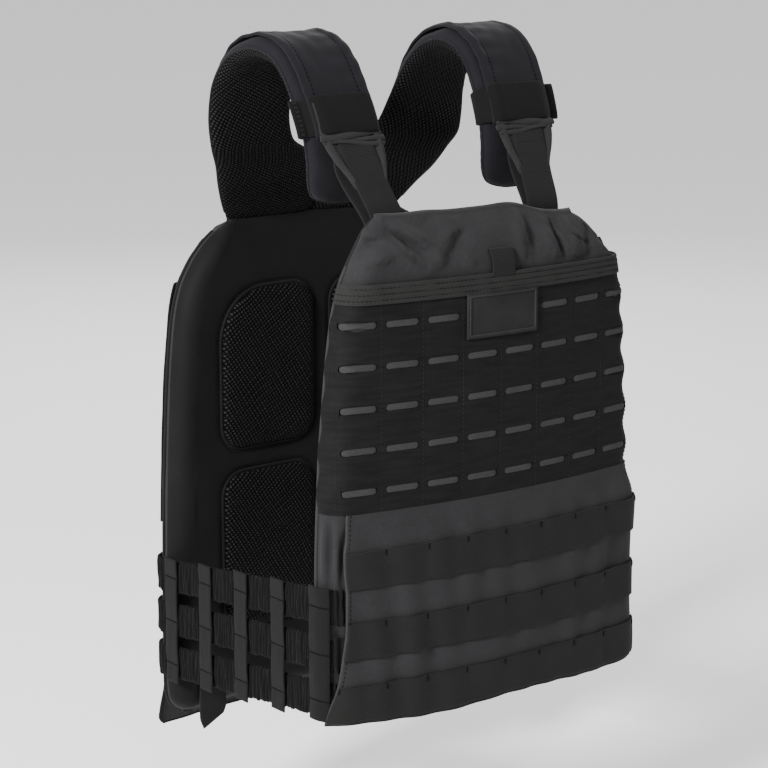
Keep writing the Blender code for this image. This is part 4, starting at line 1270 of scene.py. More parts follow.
def blank_patch():
    """A plain rubber patch with a raised border, on the place kept for one."""
    top = FRONT_PANEL_TOP - TAPE_HEIGHT - SEAT
    wide = np.linspace(-PATCH_WIDTH / 2, PATCH_WIDTH / 2, 71)[None]
    z = np.linspace(top - PATCH_HEIGHT, top, 37)[:, None]
    inset = np.minimum(PATCH_WIDTH / 2 - np.abs(wide), np.minimum(z - top + PATCH_HEIGHT,
                                                                  top - z))
    thick = PATCH_THICK - PATCH_SINK * smooth_step(*PATCH_SINK_FROM, inset)
    patch = sheet("bare_patch", on_front(wide, z, ON_PANEL), (0, -1, 0), thick, RUBBER)
    place(patch, "rubber", "blank_patch")
    wide, high = PATCH_WIDTH / 2 - PATCH_EDGE, PATCH_HEIGHT / 2 - PATCH_EDGE
    turn = np.linspace(0, tau, 161)
    x = np.clip(wide * 1.5 * np.cos(turn), -wide, wide)
    z = np.clip(high * 1.5 * np.sin(turn), -high, high) + top - PATCH_HEIGHT / 2
    path = on_front(x, z, ON_PANEL + PATCH_THICK - 0.0002)
    place(rod("patch_rim", path, *PATCH_RIM_SIZE, PATCH_RIM), "rubber")


def pull_tab():
    """A short loop of webbing that is folded double behind the tape."""
    angle = np.linspace(0, pi, 9)
    high = FRONT_PANEL_TOP + TAB_HEIGHT - TAB_FOLD
    behind = np.linspace(FRONT_PANEL_TOP - 0.002, high, TAB_POINTS)
    swell = np.sin(pi * np.linspace(0, 1, TAB_POINTS))
    out = np.concatenate([TAB_LAYERS - TAB_FOLD + TAB_BULGE_BEHIND * swell,
                          TAB_LAYERS - TAB_FOLD * np.cos(angle),
                          TAB_LAYERS + TAB_FOLD + TAB_BULGE_AHEAD * swell])
    z = np.concatenate([behind, high + TAB_FOLD * np.sin(angle), behind[::-1]])
    wide = np.linspace(-TAB_WIDTH / 2, TAB_WIDTH / 2, 12)[None]
    grid = on_front(wide, z[:, None], out[:, None] + SEAT)
    place(sheet("pull_loop", grid, (0, 1, 0), TAB_CLOTH, WEBBING), "webbing", "pull_tab")


# Flaps

FLAP_MESH = (84, 140)
BACK_FLAP_MESH = (70, 100)
FLAP_SMOOTH_TO = (0.02, 0.15)
HEM_SAG = 0.0016
HEM_SAG_FROM = (0.75, 1.0)
HEM_WAVES = 5.1
HEM_PHASE = 0.6
EDGE_SEAM_INSET = 0.030
HEM_SEAM_RISE = 0.004
HEM_BINDING_SHARE = 0.8
WEB_MESH = (13, 170)
WEB_TOP_COLUMNS = 341
WEB_INSET = 0.006
WEB_SEWN_FROM = (1.20, 1.05)
TACK_MISS = 0.002
TACK_HIGH = 0.0006
TACK_PROUD = 0.0004
BACK_SEAM_DROPS = (0.003, 0.009)
BACK_SEAM_PROUD = 0.0006
BACK_BILLOW_LEAST = -0.0002


def flap_grid(carrier, rows, top, shares, out, columns, inset=0.0):
    """Columns, heights and distances out of points on a flap, which leaves the carrier at its
    top and passes over the bands."""
    over_bands = SEAT + BAND_THICK + SEAT + FLAP_EASE
    shares = np.asarray(shares, float)[:, None]
    drops = [row.drop for row in rows]
    left, right = np.moveaxis(through(drops, [row[1:] for row in rows], shares), -1, 0)
    across = np.linspace(-1, 1, columns)[None]
    column = np.where(across < 0, across * (left - inset), across * (right - inset))
    lift = out + mix(SEAT, over_bands, smooth_step(0, FLAP_SETTLE * 1.3, shares))
    return column, mix(top, carrier.flap_bottom, shares), lift


def front_flap_grid(shares, out, columns, inset):
    return flap_grid(FRONT, FRONT_FLAP_ROWS, FRONT_FLAP_TOP, shares, out, columns, inset)


def front_flap_relief(column, z):
    share = (FRONT_FLAP_TOP - z) / (FRONT_FLAP_TOP - FRONT.flap_bottom)
    along = FRONT.along_at(column, np.maximum(z, FRONT.full))
    soft = rippled(along, z, FLAP_FOLD) + rippled(along, z, FLAP_RIPPLE)
    return soft * smooth_step(*FLAP_SMOOTH_TO, share)


def front_flap_point(shares, out, columns=FLAP_MESH[1], inset=0.0, extra=0.0):
    column, z, lift = front_flap_grid(shares, out, columns, inset)
    sag = HEM_SAG * np.sin(column * HEM_WAVES + HEM_PHASE) * smooth_step(
        *HEM_SAG_FROM, np.asarray(shares))[:, None]
    return FRONT.draped(column, z, lift + front_flap_relief(column, z) + extra) + points_of(
        0, 0, sag)


def front_flap():
    height = FRONT_FLAP_TOP - FRONT.flap_bottom
    shares = np.linspace(0, 1, FLAP_MESH[0])
    grid = front_flap_point(shares, 0)
    flap = sheet("flap_cloth", grid, (0, -1, 0), FLAP_THICK, CLOTH)
    place(flap, "cloth", "front_flap")
    edge = front_flap_point(shares, FLAP_THICK * 0.5)
    # The edge towards the key light takes the binding painted lighter, a painted highlight; the
    # far edge keeps the dark one
    for path, label, finish in ((edge[:, 0], "right", LIT_BINDING),
                                (edge[:, -1], "left", DARK_BINDING)):
        place(rod(f"flap_binding_{label}", path, BINDING_WIDE, BINDING_THICK, finish), "webbing")
    place(rod("flap_hem_binding", edge[-1], BINDING_WIDE * HEM_BINDING_SHARE,
              BINDING_THICK * HEM_BINDING_SHARE, DARK_BINDING), "webbing")
    proud = FLAP_THICK + PLAIN_SEWING.thick * 0.4
    inside = front_flap_point(shares, proud, inset=EDGE_SEAM_INSET)
    hem = front_flap_point([1 - HEM_SEAM_RISE / height], proud)
    stitches("flap_edge_stitches", [inside[:, 0], inside[:, -1], hem[0]], DARK_THREAD)
    for number, drop in enumerate(WEB_DROPS, 1):
        flap_webbing(number, drop, height)


def flap_along(shares, columns):
    """Columns of the front flap's webbing, and how far along the carrier they lie."""
    column, z, _ = front_flap_grid(shares, 0, columns, WEB_INSET)
    return column, FRONT.along_at(column, np.maximum(z, FRONT.full))


def flap_webbing(number, drop, height):
    """A row of webbing, tacked down at every slot pitch and standing out between."""
    down = np.linspace(0, 1, WEB_MESH[0])
    shares = (drop + WEB_HEIGHT * down) / height
    column, along = flap_along(shares, WEB_MESH[1])
    between = np.abs(np.sin(pi * along / WEB_TACK_PITCH)) ** 0.6
    open_top = 1.35 - 1.1 * smooth_step(0, 0.7, down[:, None])
    stand = WEB_BULGE * between * open_top * smooth_step(*WEB_SEWN_FROM, np.abs(column))
    grid = front_flap_point(shares, FLAP_THICK + SEAT, WEB_MESH[1], WEB_INSET, stand)
    row = sheet(f"webbing_row_{number}", grid, (0, -1, 0), WEB_THICK, WEBBING)
    place(row, "webbing", f"flap_webbing_{number}")
    top = front_flap_point(shares, FLAP_THICK + SEAT + WEB_THICK, WEB_TOP_COLUMNS, WEB_INSET)
    along = flap_along(shares, WEB_TOP_COLUMNS)[1]
    lines, tacks = [], []
    for tack in SEAM_NUMBERS:
        apart = np.abs(along - tack * WEB_TACK_PITCH)
        if apart.min() > TACK_MISS:
            continue
        line = top[np.arange(len(top)), apart.argmin(axis=1)]
        lines.append(line)
        start = line[0] - (0, TACK_PROUD, 0)
        end = line[1] - (0, TACK_PROUD, TACK_HIGH)
        tacks.append(np.linspace(start, end, 6))
    stitches(f"webbing_stitches_{number}", lines, THREAD, "webbing", WEB_SEWING)
    stitches(f"webbing_tacks_{number}", tacks, DARK_THREAD, "webbing", WEB_TACKS)


def back_panel():
    """The plain outer panel behind."""
    columns = panel_columns(90, PANEL_WRAP)[None]
    z = np.linspace(BACK_PANEL_TOP - BACK_PANEL_HEIGHT, BACK_PANEL_TOP, 50)[:, None]
    billow = rippled(BACK.along_at(columns, z), z, BACK_PANEL_RIPPLE)
    grid = BACK.point(columns, z, SEAT + np.maximum(billow, BACK_BILLOW_LEAST))
    panel = sheet("back_cover_panel", grid, (0, 1, 0), PANEL_THICK, LAMINATE)
    place(panel, "laminate", "back_panel")
    columns = panel_columns(120, PANEL_WRAP)
    lines = [BACK.point(columns, np.full_like(columns, BACK_PANEL_TOP - drop),
                        SEAT + PANEL_THICK + BACK_SEAM_PROUD) for drop in BACK_SEAM_DROPS]
    stitches("back_panel_stitches", lines, THREAD)


def back_flap():
    """The plain flap behind, which hangs over the bands' other ends."""
    shares = np.linspace(0, 1, BACK_FLAP_MESH[0])
    column, z, lift = flap_grid(BACK, BACK_FLAP_ROWS, BACK_FLAP_TOP, shares, 0,
                                BACK_FLAP_MESH[1])
    along = BACK.along_at(column, np.maximum(z, BACK.full))
    soft = rippled(along, z, BACK_FLAP_RIPPLE) * smooth_step(*FLAP_SMOOTH_TO, shares)[:, None]
    grid = BACK.draped(column, z, lift + soft)
    flap = sheet("back_flap_cloth", grid, (0, 1, 0), FLAP_THICK, CLOTH)
    place(flap, "cloth", "back_flap")
    edge = BACK.draped(column, z, lift + soft + FLAP_THICK * 0.5)
    border = np.concatenate([edge[:, 0], edge[-1], edge[::-1, -1]])
    place(rod("back_flap_binding", border, BINDING_THICK, BINDING_WIDE, DARK_BINDING,
              np.broadcast_to(np.array([0.0, 1.0, 0.0]), border.shape)), "webbing")


# Side bands

BAND_STEP = 0.00055
BAND_DOWN = np.array([0.0, 0.03, 0.08, 0.16, 0.26, 0.38, 0.50, 0.62, 0.74, 0.84, 0.92, 0.97, 1.0])
BAND_EDGE_SHARE = 0.16
BAND_ROUND = 0.12
BAND_SCALLOP = 0.0017
BAND_HOLLOW = 0.0004
BAND_SEEDS = {-1: 100, 1: 150}
STRIP_MESH = (72, 11)
STRIP_SINK = 0.0005
STRIP_SEEDS = {-1: 0, 1: 20}
STRIP_STRETCH = 3
STRIP_APART = 0.11


def sideways(carrier):
    """The column at which a carrier's rim faces straight to the side, where it is full."""
    return 1 + (pi / 2 - float(carrier.section(carrier.full)[2])) / pi


def band_path():
    """A band's line round one side, seen from above: distances along it, x and y, and the
    outward direction."""
    legs = []
    for carrier in (FRONT, BACK):
        columns = np.linspace(BAND_TUCK, sideways(carrier), 60)
        legs.append(carrier.point(columns, np.full_like(columns, carrier.full)))
    front, back = legs[0], legs[1][::-1]
    between = np.linspace(front[-1], back[0], 120)[1:-1]
    line = np.concatenate([front, between, back])[:, :2]
    gone = np.concatenate([[0], np.cumsum(np.linalg.norm(np.diff(line, axis=0), axis=1))])
    even = np.arange(0, gone[-1], BAND_STEP)
    line = np.stack([np.interp(even, gone, line[:, k]) for k in range(2)], axis=1)
    run = unit(np.gradient(line, axis=0))
    return even, line, np.stack([run[:, 1], -run[:, 0]], axis=1)


BAND_WAY, BAND_LINE, BAND_OUT = band_path()
BAND_FRONT_Y, BAND_BACK_Y = (float(carrier.point(sideways(carrier), carrier.full)[1])
                             for carrier in (FRONT, BACK))


def band_top(y):
    """The upper edge of the uppermost band, which falls from front to back."""
    level = FRONT.top - BAND_TOP_DROP
    return level - BAND_SLOPE * (np.clip(y, BAND_FRONT_Y, BAND_BACK_Y) - BAND_FRONT_Y)


def band_ridges(way, down, seed):
    """Ruched elastic: round ridges with narrow valleys, unevenly spaced."""
    level = down * BAND_HEIGHT
    drift = rippled(way, level, RIDGE_DRIFT, seed) + rippled(way, level, RIDGE_WAVER, seed)
    ridge = (0.5 + 0.5 * np.cos(tau * (way / RIDGE_PITCH + drift))) ** 0.8
    return ridge * (1 - RIDGE_UNEVEN.depth + rippled(way, level, RIDGE_UNEVEN, seed))


def side_band(side, label, number):
    down = BAND_DOWN[:, None]
    ridge = band_ridges(BAND_WAY[None], down, BAND_SEEDS[side] + 10 * number)
    edge = np.minimum(down, 1 - down)
    swell = np.sqrt(np.clip(1 - (1 - np.minimum(edge / BAND_ROUND, 1)) ** 2, 0, 1))
    proud = BAND_THICK * (1 - BAND_EDGE_SHARE) - RIDGE_DEPTH * (1 - ridge)
    body = SEAT + BAND_THICK * BAND_EDGE_SHARE + swell * proud
    top = band_top(BAND_LINE[:, 1])[None] - BAND_PITCH * number
    scallop = BAND_SCALLOP * (ridge - 0.5) * (1 - 2 * down) * smooth_step(0.2, 0, edge)
    z = top - BAND_HEIGHT * down + scallop

    def layer(out):
        line = BAND_LINE[None] + BAND_OUT[None] * out[..., None]
        return points_of(side * line[..., 0], line[..., 1], z)

    outer = layer(body)
    inner = layer(np.where(swell > 0, SEAT + BAND_HOLLOW * (1 - ridge), body))
    inner[[0, -1]] = outer[[0, -1]]
    inner[:, [0, -1]] = outer[:, [0, -1]]
    band = two_faced(f"band_{label}_{number + 1}", outer, inner, [ELASTIC])
    place(band, "elastic", f"side_band_{label}_{number + 1}")


def side_strip(side, label, number):
    """A strip of webbing that is tacked to the middle of every band. Its lines of tacks."""
    first = STRIP_FIRST if side < 0 else STRIP_FIRST_LEFT
    middle = FRONT.face_y + first + STRIP_PITCH * number
    start = np.interp(middle, BAND_LINE[:, 1], BAND_WAY) - STRIP_WIDTH / 2
    way = start + np.linspace(0, STRIP_WIDTH, STRIP_MESH[1])
    line = np.stack([np.interp(way, BAND_WAY, BAND_LINE[:, k]) for k in range(2)], axis=1)
    out = unit(np.stack([np.interp(way, BAND_WAY, BAND_OUT[:, k]) for k in range(2)], axis=1))

    def strip_point(lift, sway, z):
        return points_of(side * (line[:, 0] + out[:, 0] * lift),
                         line[:, 1] + out[:, 1] * lift + sway, z)

    high = float(band_top(middle)) + STRIP_PROUD
    low = high - BAND_PITCH * (BAND_COUNT - 1) - BAND_HEIGHT - 2 * STRIP_PROUD
    z = np.linspace(high, low, STRIP_MESH[0])[:, None]
    tack = float(band_top(middle)) - BAND_HEIGHT / 2
    bulge = np.abs(np.sin(pi * (tack - z) / BAND_PITCH)) ** 0.8
    on_band = SEAT + BAND_THICK - STRIP_SINK
    wobble = rippled(way[None] * STRIP_STRETCH, z, STRIP_RIPPLE, number + STRIP_SEEDS[side])
    sway = rippled(number * STRIP_APART, z, STRIP_SWAY, number)
    grid = strip_point(on_band + STRIP_BULGE * bulge + wobble, sway, z)
    strip = sheet(f"strip_{label}_{number + 1}", grid, (side, 0, 0), STRIP_THICK,
                  STRIP_WEBBING)
    place(strip, "webbing", f"side_strip_{label}_{number + 1}")
    return [strip_point(on_band + STRIP_THICK + THREAD_LIFT, 0, tack - BAND_PITCH * band)
            for band in range(BAND_COUNT)]


def cummerbund():
    for side, label in SIDES:
        for number in range(BAND_COUNT):
            side_band(side, label, number)
        tacks = []
        for number in range(STRIP_COUNT):
            tacks += side_strip(side, label, number)
        stitches(f"strip_tacks_{label}", tacks, DARK_THREAD, "webbing", STRIP_TACKS)


# Cushions

CUSHION_SEAM = 0.0035
CUSHION_RINGS = 46
CUSHION_PROFILE = ((1.0, 0.0), (1.012, 0.25), (1.005, 0.50), (0.975, 0.70), (0.93, 0.82),
                   (0.86, 0.91), (0.72, 0.98), (0.55, 1.02), (0.36, 1.04), (0.18, 1.05))
OUTLINE_STEP = 0.0022
ROUND_STEPS = 10
BORDER_AT = 0.55
BORDER_SIZE = (0.0017, 0.0012)
BORDER_PROUD = 0.0006
SEAM_AT = 1.9
SEAM_PROUD = 0.0004
MESH_RIB = 0.0009
MESH_RIB_PITCH = 0.0075


def cushion_places():
    """The four cushions, with their corner radii from the lower right one round."""
    upper = BACK.top - CUSHION_TOP_DROP - CUSHION_HEIGHT / 2
    lower = upper - CUSHION_HEIGHT - CUSHION_GAP_Z
    for side, label in SIDES:
        x = side * (CUSHION_GAP_X + CUSHION_WIDTH) / 2
        for level, z, top_round in (("upper", upper, CUSHION_ROUND_OUTER),
                                    ("lower", lower, CUSHION_ROUND)):
            right, left = (top_round, CUSHION_ROUND) if side > 0 else (CUSHION_ROUND, top_round)
            yield Cushion(f"{level}_{label}", x, z, (CUSHION_ROUND, right, left, CUSHION_ROUND))


def cushion_outline(radii, grow=0.0):
    """Points round a cushion, anticlockwise from the lower right corner."""
    points = []
    for quarter, radius in enumerate(radii):
        turn_x = 1 if quarter in (0, 1) else -1
        turn_z = 1 if quarter in (1, 2) else -1
        middle_x = turn_x * (CUSHION_WIDTH / 2 - radius)
        middle_z = turn_z * (CUSHION_HEIGHT / 2 - radius)
        for step in range(ROUND_STEPS + 1):
            angle = pi / 2 * (quarter - 1 + step / ROUND_STEPS)
            reach = radius + grow
            points.append((middle_x + reach * cos(angle), middle_z + reach * sin(angle)))
    line = np.array(points)
    filled = []
    for start, end in zip(line, np.roll(line, -1, axis=0)):
        count = max(1, round(float(np.linalg.norm(end - start)) / OUTLINE_STEP))
        filled += [mix(start, end, k / count) for k in range(count)]
    return np.array(filled)


def dome(outline, profile, place_at):
    """A crowned body over an outline: rings that draw in to a middle point, and a flat base.
    Its points, its faces and their flat places."""
    rings = [place_at(outline * scale, out) for scale, out in profile]
    count = len(outline)
    points = np.concatenate(rings + [place_at(np.zeros((1, 2)), profile[-1][1]),
                                     place_at(np.zeros((1, 2)), 0.0)])
    index = np.arange(len(rings) * count).reshape(len(rings), count)
    faces = corners(index, closed=True)
    after = np.roll(index, -1, axis=1)
    peak, base = len(points) - 2, len(points) - 1
    top = np.stack([index[-1], after[-1], np.full(count, peak)], axis=1)
    bottom = np.stack([after[0], index[0], np.full(count, base)], axis=1)
    split = np.concatenate([faces[:, [0, 1, 2]], faces[:, [0, 2, 3]], top, bottom])
    flat = np.concatenate([outline * scale for scale, _ in profile] + [np.zeros((2, 2))])
    return points, split, flat[split]


def mesh_ribs(x, z):
    """Slanting ribs of thick spacer mesh, broken into cells, from 0 to 1."""
    bend = rippled(x, z, MESH_BEND)
    slant = 0.5 + 0.5 * np.sin(tau * (x + MESH_SLANT * z + bend) / MESH_RIB_PITCH)
    breaks = 0.5 + 0.5 * np.sin(tau * (z - MESH_SLANT * x + bend) / MESH_RIB_PITCH)
    return np.sqrt(slant * breaks)


def cushions():
    steps = np.linspace(0, len(CUSHION_PROFILE) - 1, CUSHION_RINGS)
    profile = through(np.arange(len(CUSHION_PROFILE)), CUSHION_PROFILE, steps)
    seams = []
    for cushion in cushion_places():
        def on_back(flat, proud):
            x, z = cushion.x + flat[:, 0], cushion.z + flat[:, 1]
            return BACK.inner(x, z, proud)

        def crowned(flat, out):
            ribs = MESH_RIB * (mesh_ribs(flat[:, 0], flat[:, 1]) - 0.5) * min(out, 1)
            return on_back(flat, SEAT + (CUSHION_THICK * out + ribs))

        points, faces, flat = dome(cushion_outline(cushion.radii), profile, crowned)
        pad = new_piece(f"mesh_cushion_{cushion.name}", points, faces, [MESH], flat)
        place(pad, "mesh", f"cushion_{cushion.name}")
        ring = cushion_outline(cushion.radii, CUSHION_SEAM * BORDER_AT)
        border = on_back(np.concatenate([ring, ring[:2]]), BORDER_PROUD)
        place(rod(f"cushion_border_{cushion.name}", border, *BORDER_SIZE, LINING), "cloth")
        seam = cushion_outline(cushion.radii, CUSHION_SEAM * SEAM_AT)
        seams.append(on_back(np.concatenate([seam, seam[:1]]), SEAM_PROUD))
    stitches("cushion_stitches", seams, DARK_THREAD)


# Shoulder straps

ROW_LENGTH = 0.022
PAD_MESH = (258, 59)
PAD_END = len(STRAP_ROWS) - 1
PAD_NARROWS_FROM = 16.4
PAD_ROUND = 5
PAD_SEAM = 0.0011
COVER_MESH = (90, 41)
COVER_RIDGE_AT = 0.004
COVER_RIDGE_WIDE = 0.0024
COVER_SIDE_AT = 0.003
COVER_SIDE_WIDE = 0.002
COVER_SIDE_SHARE = 0.4
COVER_SEAM_AT = (0.009, -0.007)
COVER_SEAM_PROUD = 0.0004
KEEPER_MESH = (12, 48)
KEEPER_LIFT = 0.0006
KEEPER_RIDGE_AT = 0.006
KEEPER_RIDGE_WIDE = 0.0045
KEEPER_OVER_COVER = (0.006, -0.012)
KEEPER_TUCK = 0.0012
KEEPER_SEAM_SHARES = (0.25, 0.5, 0.75)
TONGUE_SPOTS = (TONGUE_START, 13.0, 13.5, COVER_END)
SEWN_ROWS = 4
LEAF_MESH = (60, 25)
LEAF_THICK = 0.0014
LEAF_BEAD = 0.0030
LEAF_BEAD_AT = 0.88
LEAF_BEAD_WIDE = 0.09
WEBBING_MESH = (90, 13)
WEBBING_LIFT = (0.0, -0.0016, 0.0003)
WEBBING_SHOWN = 0.0015
WEBBING_SEAM = 0.0016
BOX_ROWS = (3, 15)
CRUMPLES = (
    Crumple(0.014, 0.0026, 0.0013, 0.0290, 0.20, 0.4),
    Crumple(0.060, 0.0023, 0.0012, 0.0300, 0.60, 1.9),
    Crumple(0.104, 0.0018, 0.0009, 0.0285, 1.00, 3.1),
)
CRUMPLE_POINTS = 44
CRUMPLE_RISE = 0.0033
CRUMPLE_UNEVEN = 0.0006
CRUMPLE_SWING = 0.012
ANCHOR_END = 15.0
PULL_MESH = (30, 13)
PULL_KNOTS = (0, 0.22, 1)
PULL_SHARES = (0.85, 1.1, 1.0)
PULL_CURL = 0.0015
PULL_SLANT = 0.0045


def strap_frames():
    """Neck end, arm end, outward direction and half thickness at each row of the table."""
    necks, arms = [], []
    for row in STRAP_ROWS:
        reach = STRAP_REACH_BACK if row.y > 0 else FRONT_SETBACK
        turn = row.turn * STRAP_OUTER / 2
        z = SEAT - STRAP_DROP * row.drop
        necks.append((max(row.inner * STRAP_OUTER, SEAT / 2), row.y * reach - turn, z))
        arms.append((row.outer * STRAP_OUTER, row.y * reach + turn, z))
    necks, arms = np.array(necks), np.array(arms)
    outward = np.cross(np.gradient(necks + arms, axis=0), arms - necks)
    outward[0, 2] = 0
    half = np.array([row.thick * STRAP_THICK / 2 for row in STRAP_ROWS])
    return np.concatenate([necks, arms, unit(outward), half[:, None]], axis=1)


STRAP = strap_frames()
STRAP_PLACES = np.arange(len(STRAP_ROWS))


def strap_point(spot, across, share, out=0.0):
    """A point of a strap: place along it in rows, across it from the neck side, then a share
    of its half thickness and a distance out of that."""
    spot, across = np.broadcast_arrays(spot, across)
    rows = through(STRAP_PLACES, STRAP, spot)
    neck, arm, half = rows[..., :3], rows[..., 3:6], rows[..., 9]
    lift = np.asarray(half * share + out)
    return neck + (arm - neck) * across[..., None] + unit(rows[..., 6:9]) * lift[..., None]


def strap_width(spot):
    rows = through(STRAP_PLACES, STRAP, spot)
    return np.linalg.norm(rows[..., 3:6] - rows[..., :3], axis=-1)


def beside(spot, shift):
    """The share across a strap that lies at a distance from its middle."""
    return 0.5 + shift / strap_width(spot)


def mirrored(grid, side):
    return grid * np.array([side, 1, 1])


def pad_crown(edge):
    return (1 - edge ** PAD_ROUND) ** 0.42


def strap_pad(side, label):
    last = [PAD_END - 0.05, PAD_END]
    spot = np.concatenate([np.linspace(0, PAD_END - 0.1, PAD_MESH[0]), last])[:, None]
    share = eased(PAD_MESH[1], 0.9)[None]
    narrowing = np.clip((spot - PAD_NARROWS_FROM) / (PAD_END - PAD_NARROWS_FROM), 0, 1)
    across = 0.5 + (share - 0.5) * np.sqrt(1 - 0.96 * narrowing ** 3)
    wide = (across - 0.5) * strap_width(spot)
    way = spot * ROW_LENGTH
    free_end = np.sqrt(np.clip(1 - (1 - smooth_step(0, 0.45, PAD_END - spot)) ** 2, 0, 1))
    upper = pad_crown(np.abs(2 * share - 1)) * free_end * smooth_step(-0.02, 0.12, spot)
    ribs = MESH_RIB * (mesh_ribs(wide, way) - 0.5)
    outer = strap_point(spot, across, upper, rippled(way, wide, PAD_RIPPLE) * upper)
    inner = strap_point(spot, across, -upper, -ribs * upper)
    border = (outer + inner) / 2
    for grid in (outer, inner):
        grid[[0, -1]] = border[[0, -1]]
        grid[:, [0, -1]] = border[:, [0, -1]]
    pad = two_faced(f"pad_{label}", mirrored(outer, side), mirrored(inner, side),
                    [PAD_CLOTH, MESH])
    place(pad, "mesh", f"strap_pad_{label}")
    seam = np.concatenate([border[4:-1:2, 0], border[-1, ::2], border[-2:4:-2, -1]])
    place(rod(f"pad_seam_{label}", mirrored(seam, side), PAD_SEAM, PAD_SEAM, PAD_CLOTH), "cloth")


def strap_cover(side, label):
    """The hook strap along the top of the pad, with a raised ridge down its neck side."""
    spot = np.linspace(COVER_START, COVER_END, COVER_MESH[0])[:, None]
    shift = np.linspace(-COVER_WIDTH / 2, COVER_WIDTH / 2, COVER_MESH[1])[None]
    ridge = COVER_RIDGE * (hump(shift + COVER_WIDTH / 2 - COVER_RIDGE_AT, COVER_RIDGE_WIDE)
                           + COVER_SIDE_SHARE * hump(shift - COVER_WIDTH / 2 + COVER_SIDE_AT,
                                                     COVER_SIDE_WIDE))
    soft = rippled(spot * ROW_LENGTH, shift, COVER_RIPPLE)
    grid = strap_point(spot, beside(spot, shift), 1, COVER_LIFT + ridge * 0.6 + soft)
    cover = sheet(f"cover_{label}", mirrored(grid, side), (0, -0.3, 1), COVER_THICK, PAD_CLOTH)
    place(cover, "cloth", f"strap_cover_{label}")
    spots = np.linspace(COVER_START + 0.1, COVER_END, 120)
    lines = []
    for inset in COVER_SEAM_AT:
        shift = inset - np.sign(inset) * COVER_WIDTH / 2
        lines.append(mirrored(strap_point(spots, beside(spots, shift), 1,
                                          COVER_LIFT + COVER_THICK + COVER_SEAM_PROUD), side))
    stitches(f"cover_stitches_{label}", lines, DARK_THREAD)


def keeper_ring(spot, over):
    """A closed line that hugs a strap and the layers on it."""
    width = float(strap_width(spot))
    flat = eased(KEEPER_MESH[1], 1.0)
    crown = pad_crown(np.abs(2 * flat - 1))
    shift = (flat - 0.5) * width
    on_cover = smooth_step(*KEEPER_OVER_COVER, np.abs(shift) - COVER_WIDTH / 2)
    ridge = COVER_RIDGE * 0.7 * hump(shift + COVER_WIDTH / 2 - KEEPER_RIDGE_AT,
                                     KEEPER_RIDGE_WIDE)
    across = (flat - 0.5) * (1 + 2 * KEEPER_EASE / width) + 0.5
    top = strap_point(spot, across, crown, KEEPER_LIFT * crown + over * on_cover + ridge)
    foot = strap_point(spot, across[-2:0:-1], -crown[-2:0:-1], -KEEPER_LIFT * crown[-2:0:-1])
    return np.concatenate([top, foot])


def keeper(side, label):
    """The elastic loop round the pad, its cover and the tongue, and its sewn end."""
    stack = COVER_LIFT + COVER_THICK + SEAT + TONGUE_THICK + SEAT
    rings = [keeper_ring(spot, stack)
             for spot in np.linspace(KEEPER_START, KEEPER_END, KEEPER_MESH[0])]
    grid = mirrored(np.array(rings), side)
    middle = grid[len(grid) // 2]
    outward = middle[len(middle) // 2] - middle.mean(axis=0)
    loop = sheet(f"keeper_loop_{label}", grid, outward, KEEPER_THICK, ELASTIC, closed=True)
    place(loop, "elastic", f"strap_keeper_{label}")
    spot = np.linspace(KEEPER_START, KEEPER_END, 14)[:, None]
    start = strap_width(spot) / 2 + KEEPER_EASE + KEEPER_THICK + 2 * SEAT
    shift = start + np.linspace(-KEEPER_TUCK, KEEPER_TAB_SHOWN, 8)[None]
    grid = mirrored(strap_point(spot, beside(spot, shift), KEEPER_TAB_RISE), side)
    tab = sheet(f"keeper_end_{label}", grid, (0, -0.5, 1), 2 * KEEPER_THICK, ELASTIC)
    place(tab, "elastic", f"keeper_tab_{label}")
    spots = np.linspace(KEEPER_START + 0.06, KEEPER_END - 0.06, 30)
    lines = []
    for share in KEEPER_SEAM_SHARES:
        reach = strap_width(spots) / 2 + KEEPER_EASE + KEEPER_THICK + KEEPER_TAB_SHOWN * share
        lines.append(mirrored(strap_point(spots, beside(spots, reach), KEEPER_TAB_RISE,
                                          2 * KEEPER_THICK + THREAD_LIFT), side))
    stitches(f"keeper_stitches_{label}", lines, THREAD, "elastic")


def ribbon(lefts, rights, rows, columns):
    """A grid between two edge lines that run smoothly through their rows."""
    lefts, rights = np.array(lefts), np.array(rights)
    gone = np.linalg.norm(np.diff((lefts + rights) / 2, axis=0), axis=1)
    gone = np.concatenate([[0], np.cumsum(gone)])
    at = np.linspace(0, gone[-1], rows)
    a, b = through(gone, lefts, at), through(gone, rights, at)
    share = np.linspace(0, 1, columns)[None, :, None]
    return a[:, None] + (b - a)[:, None] * share


def tongue_rows(out):
    """Middles and widths of the tongue's rows: on the cover, free, then down the carrier."""
    middles = [strap_point(np.float64(spot), np.float64(0.5), 1, out) for spot in TONGUE_SPOTS]
    widths = [TONGUE_WIDTH] * len(middles)
    sewn = [FRONT.inner(WEBBING_X, FRONT.top - drop, SEAT + TONGUE_THICK)
            for drop in np.linspace(ANCHOR_DROP, ANCHOR_DROP + TONGUE_SEWN, SEWN_ROWS)]
    start, end = middles[-1], sewn[0]
    for row in TONGUE_ROWS:
        middles.append(mix(start, end, row.along))
        widths.append(mix(WEBBING_WIDTH, TONGUE_WIDTH, row.width))
    return np.array(middles + sewn), np.array(widths + [WEBBING_WIDTH] * SEWN_ROWS)


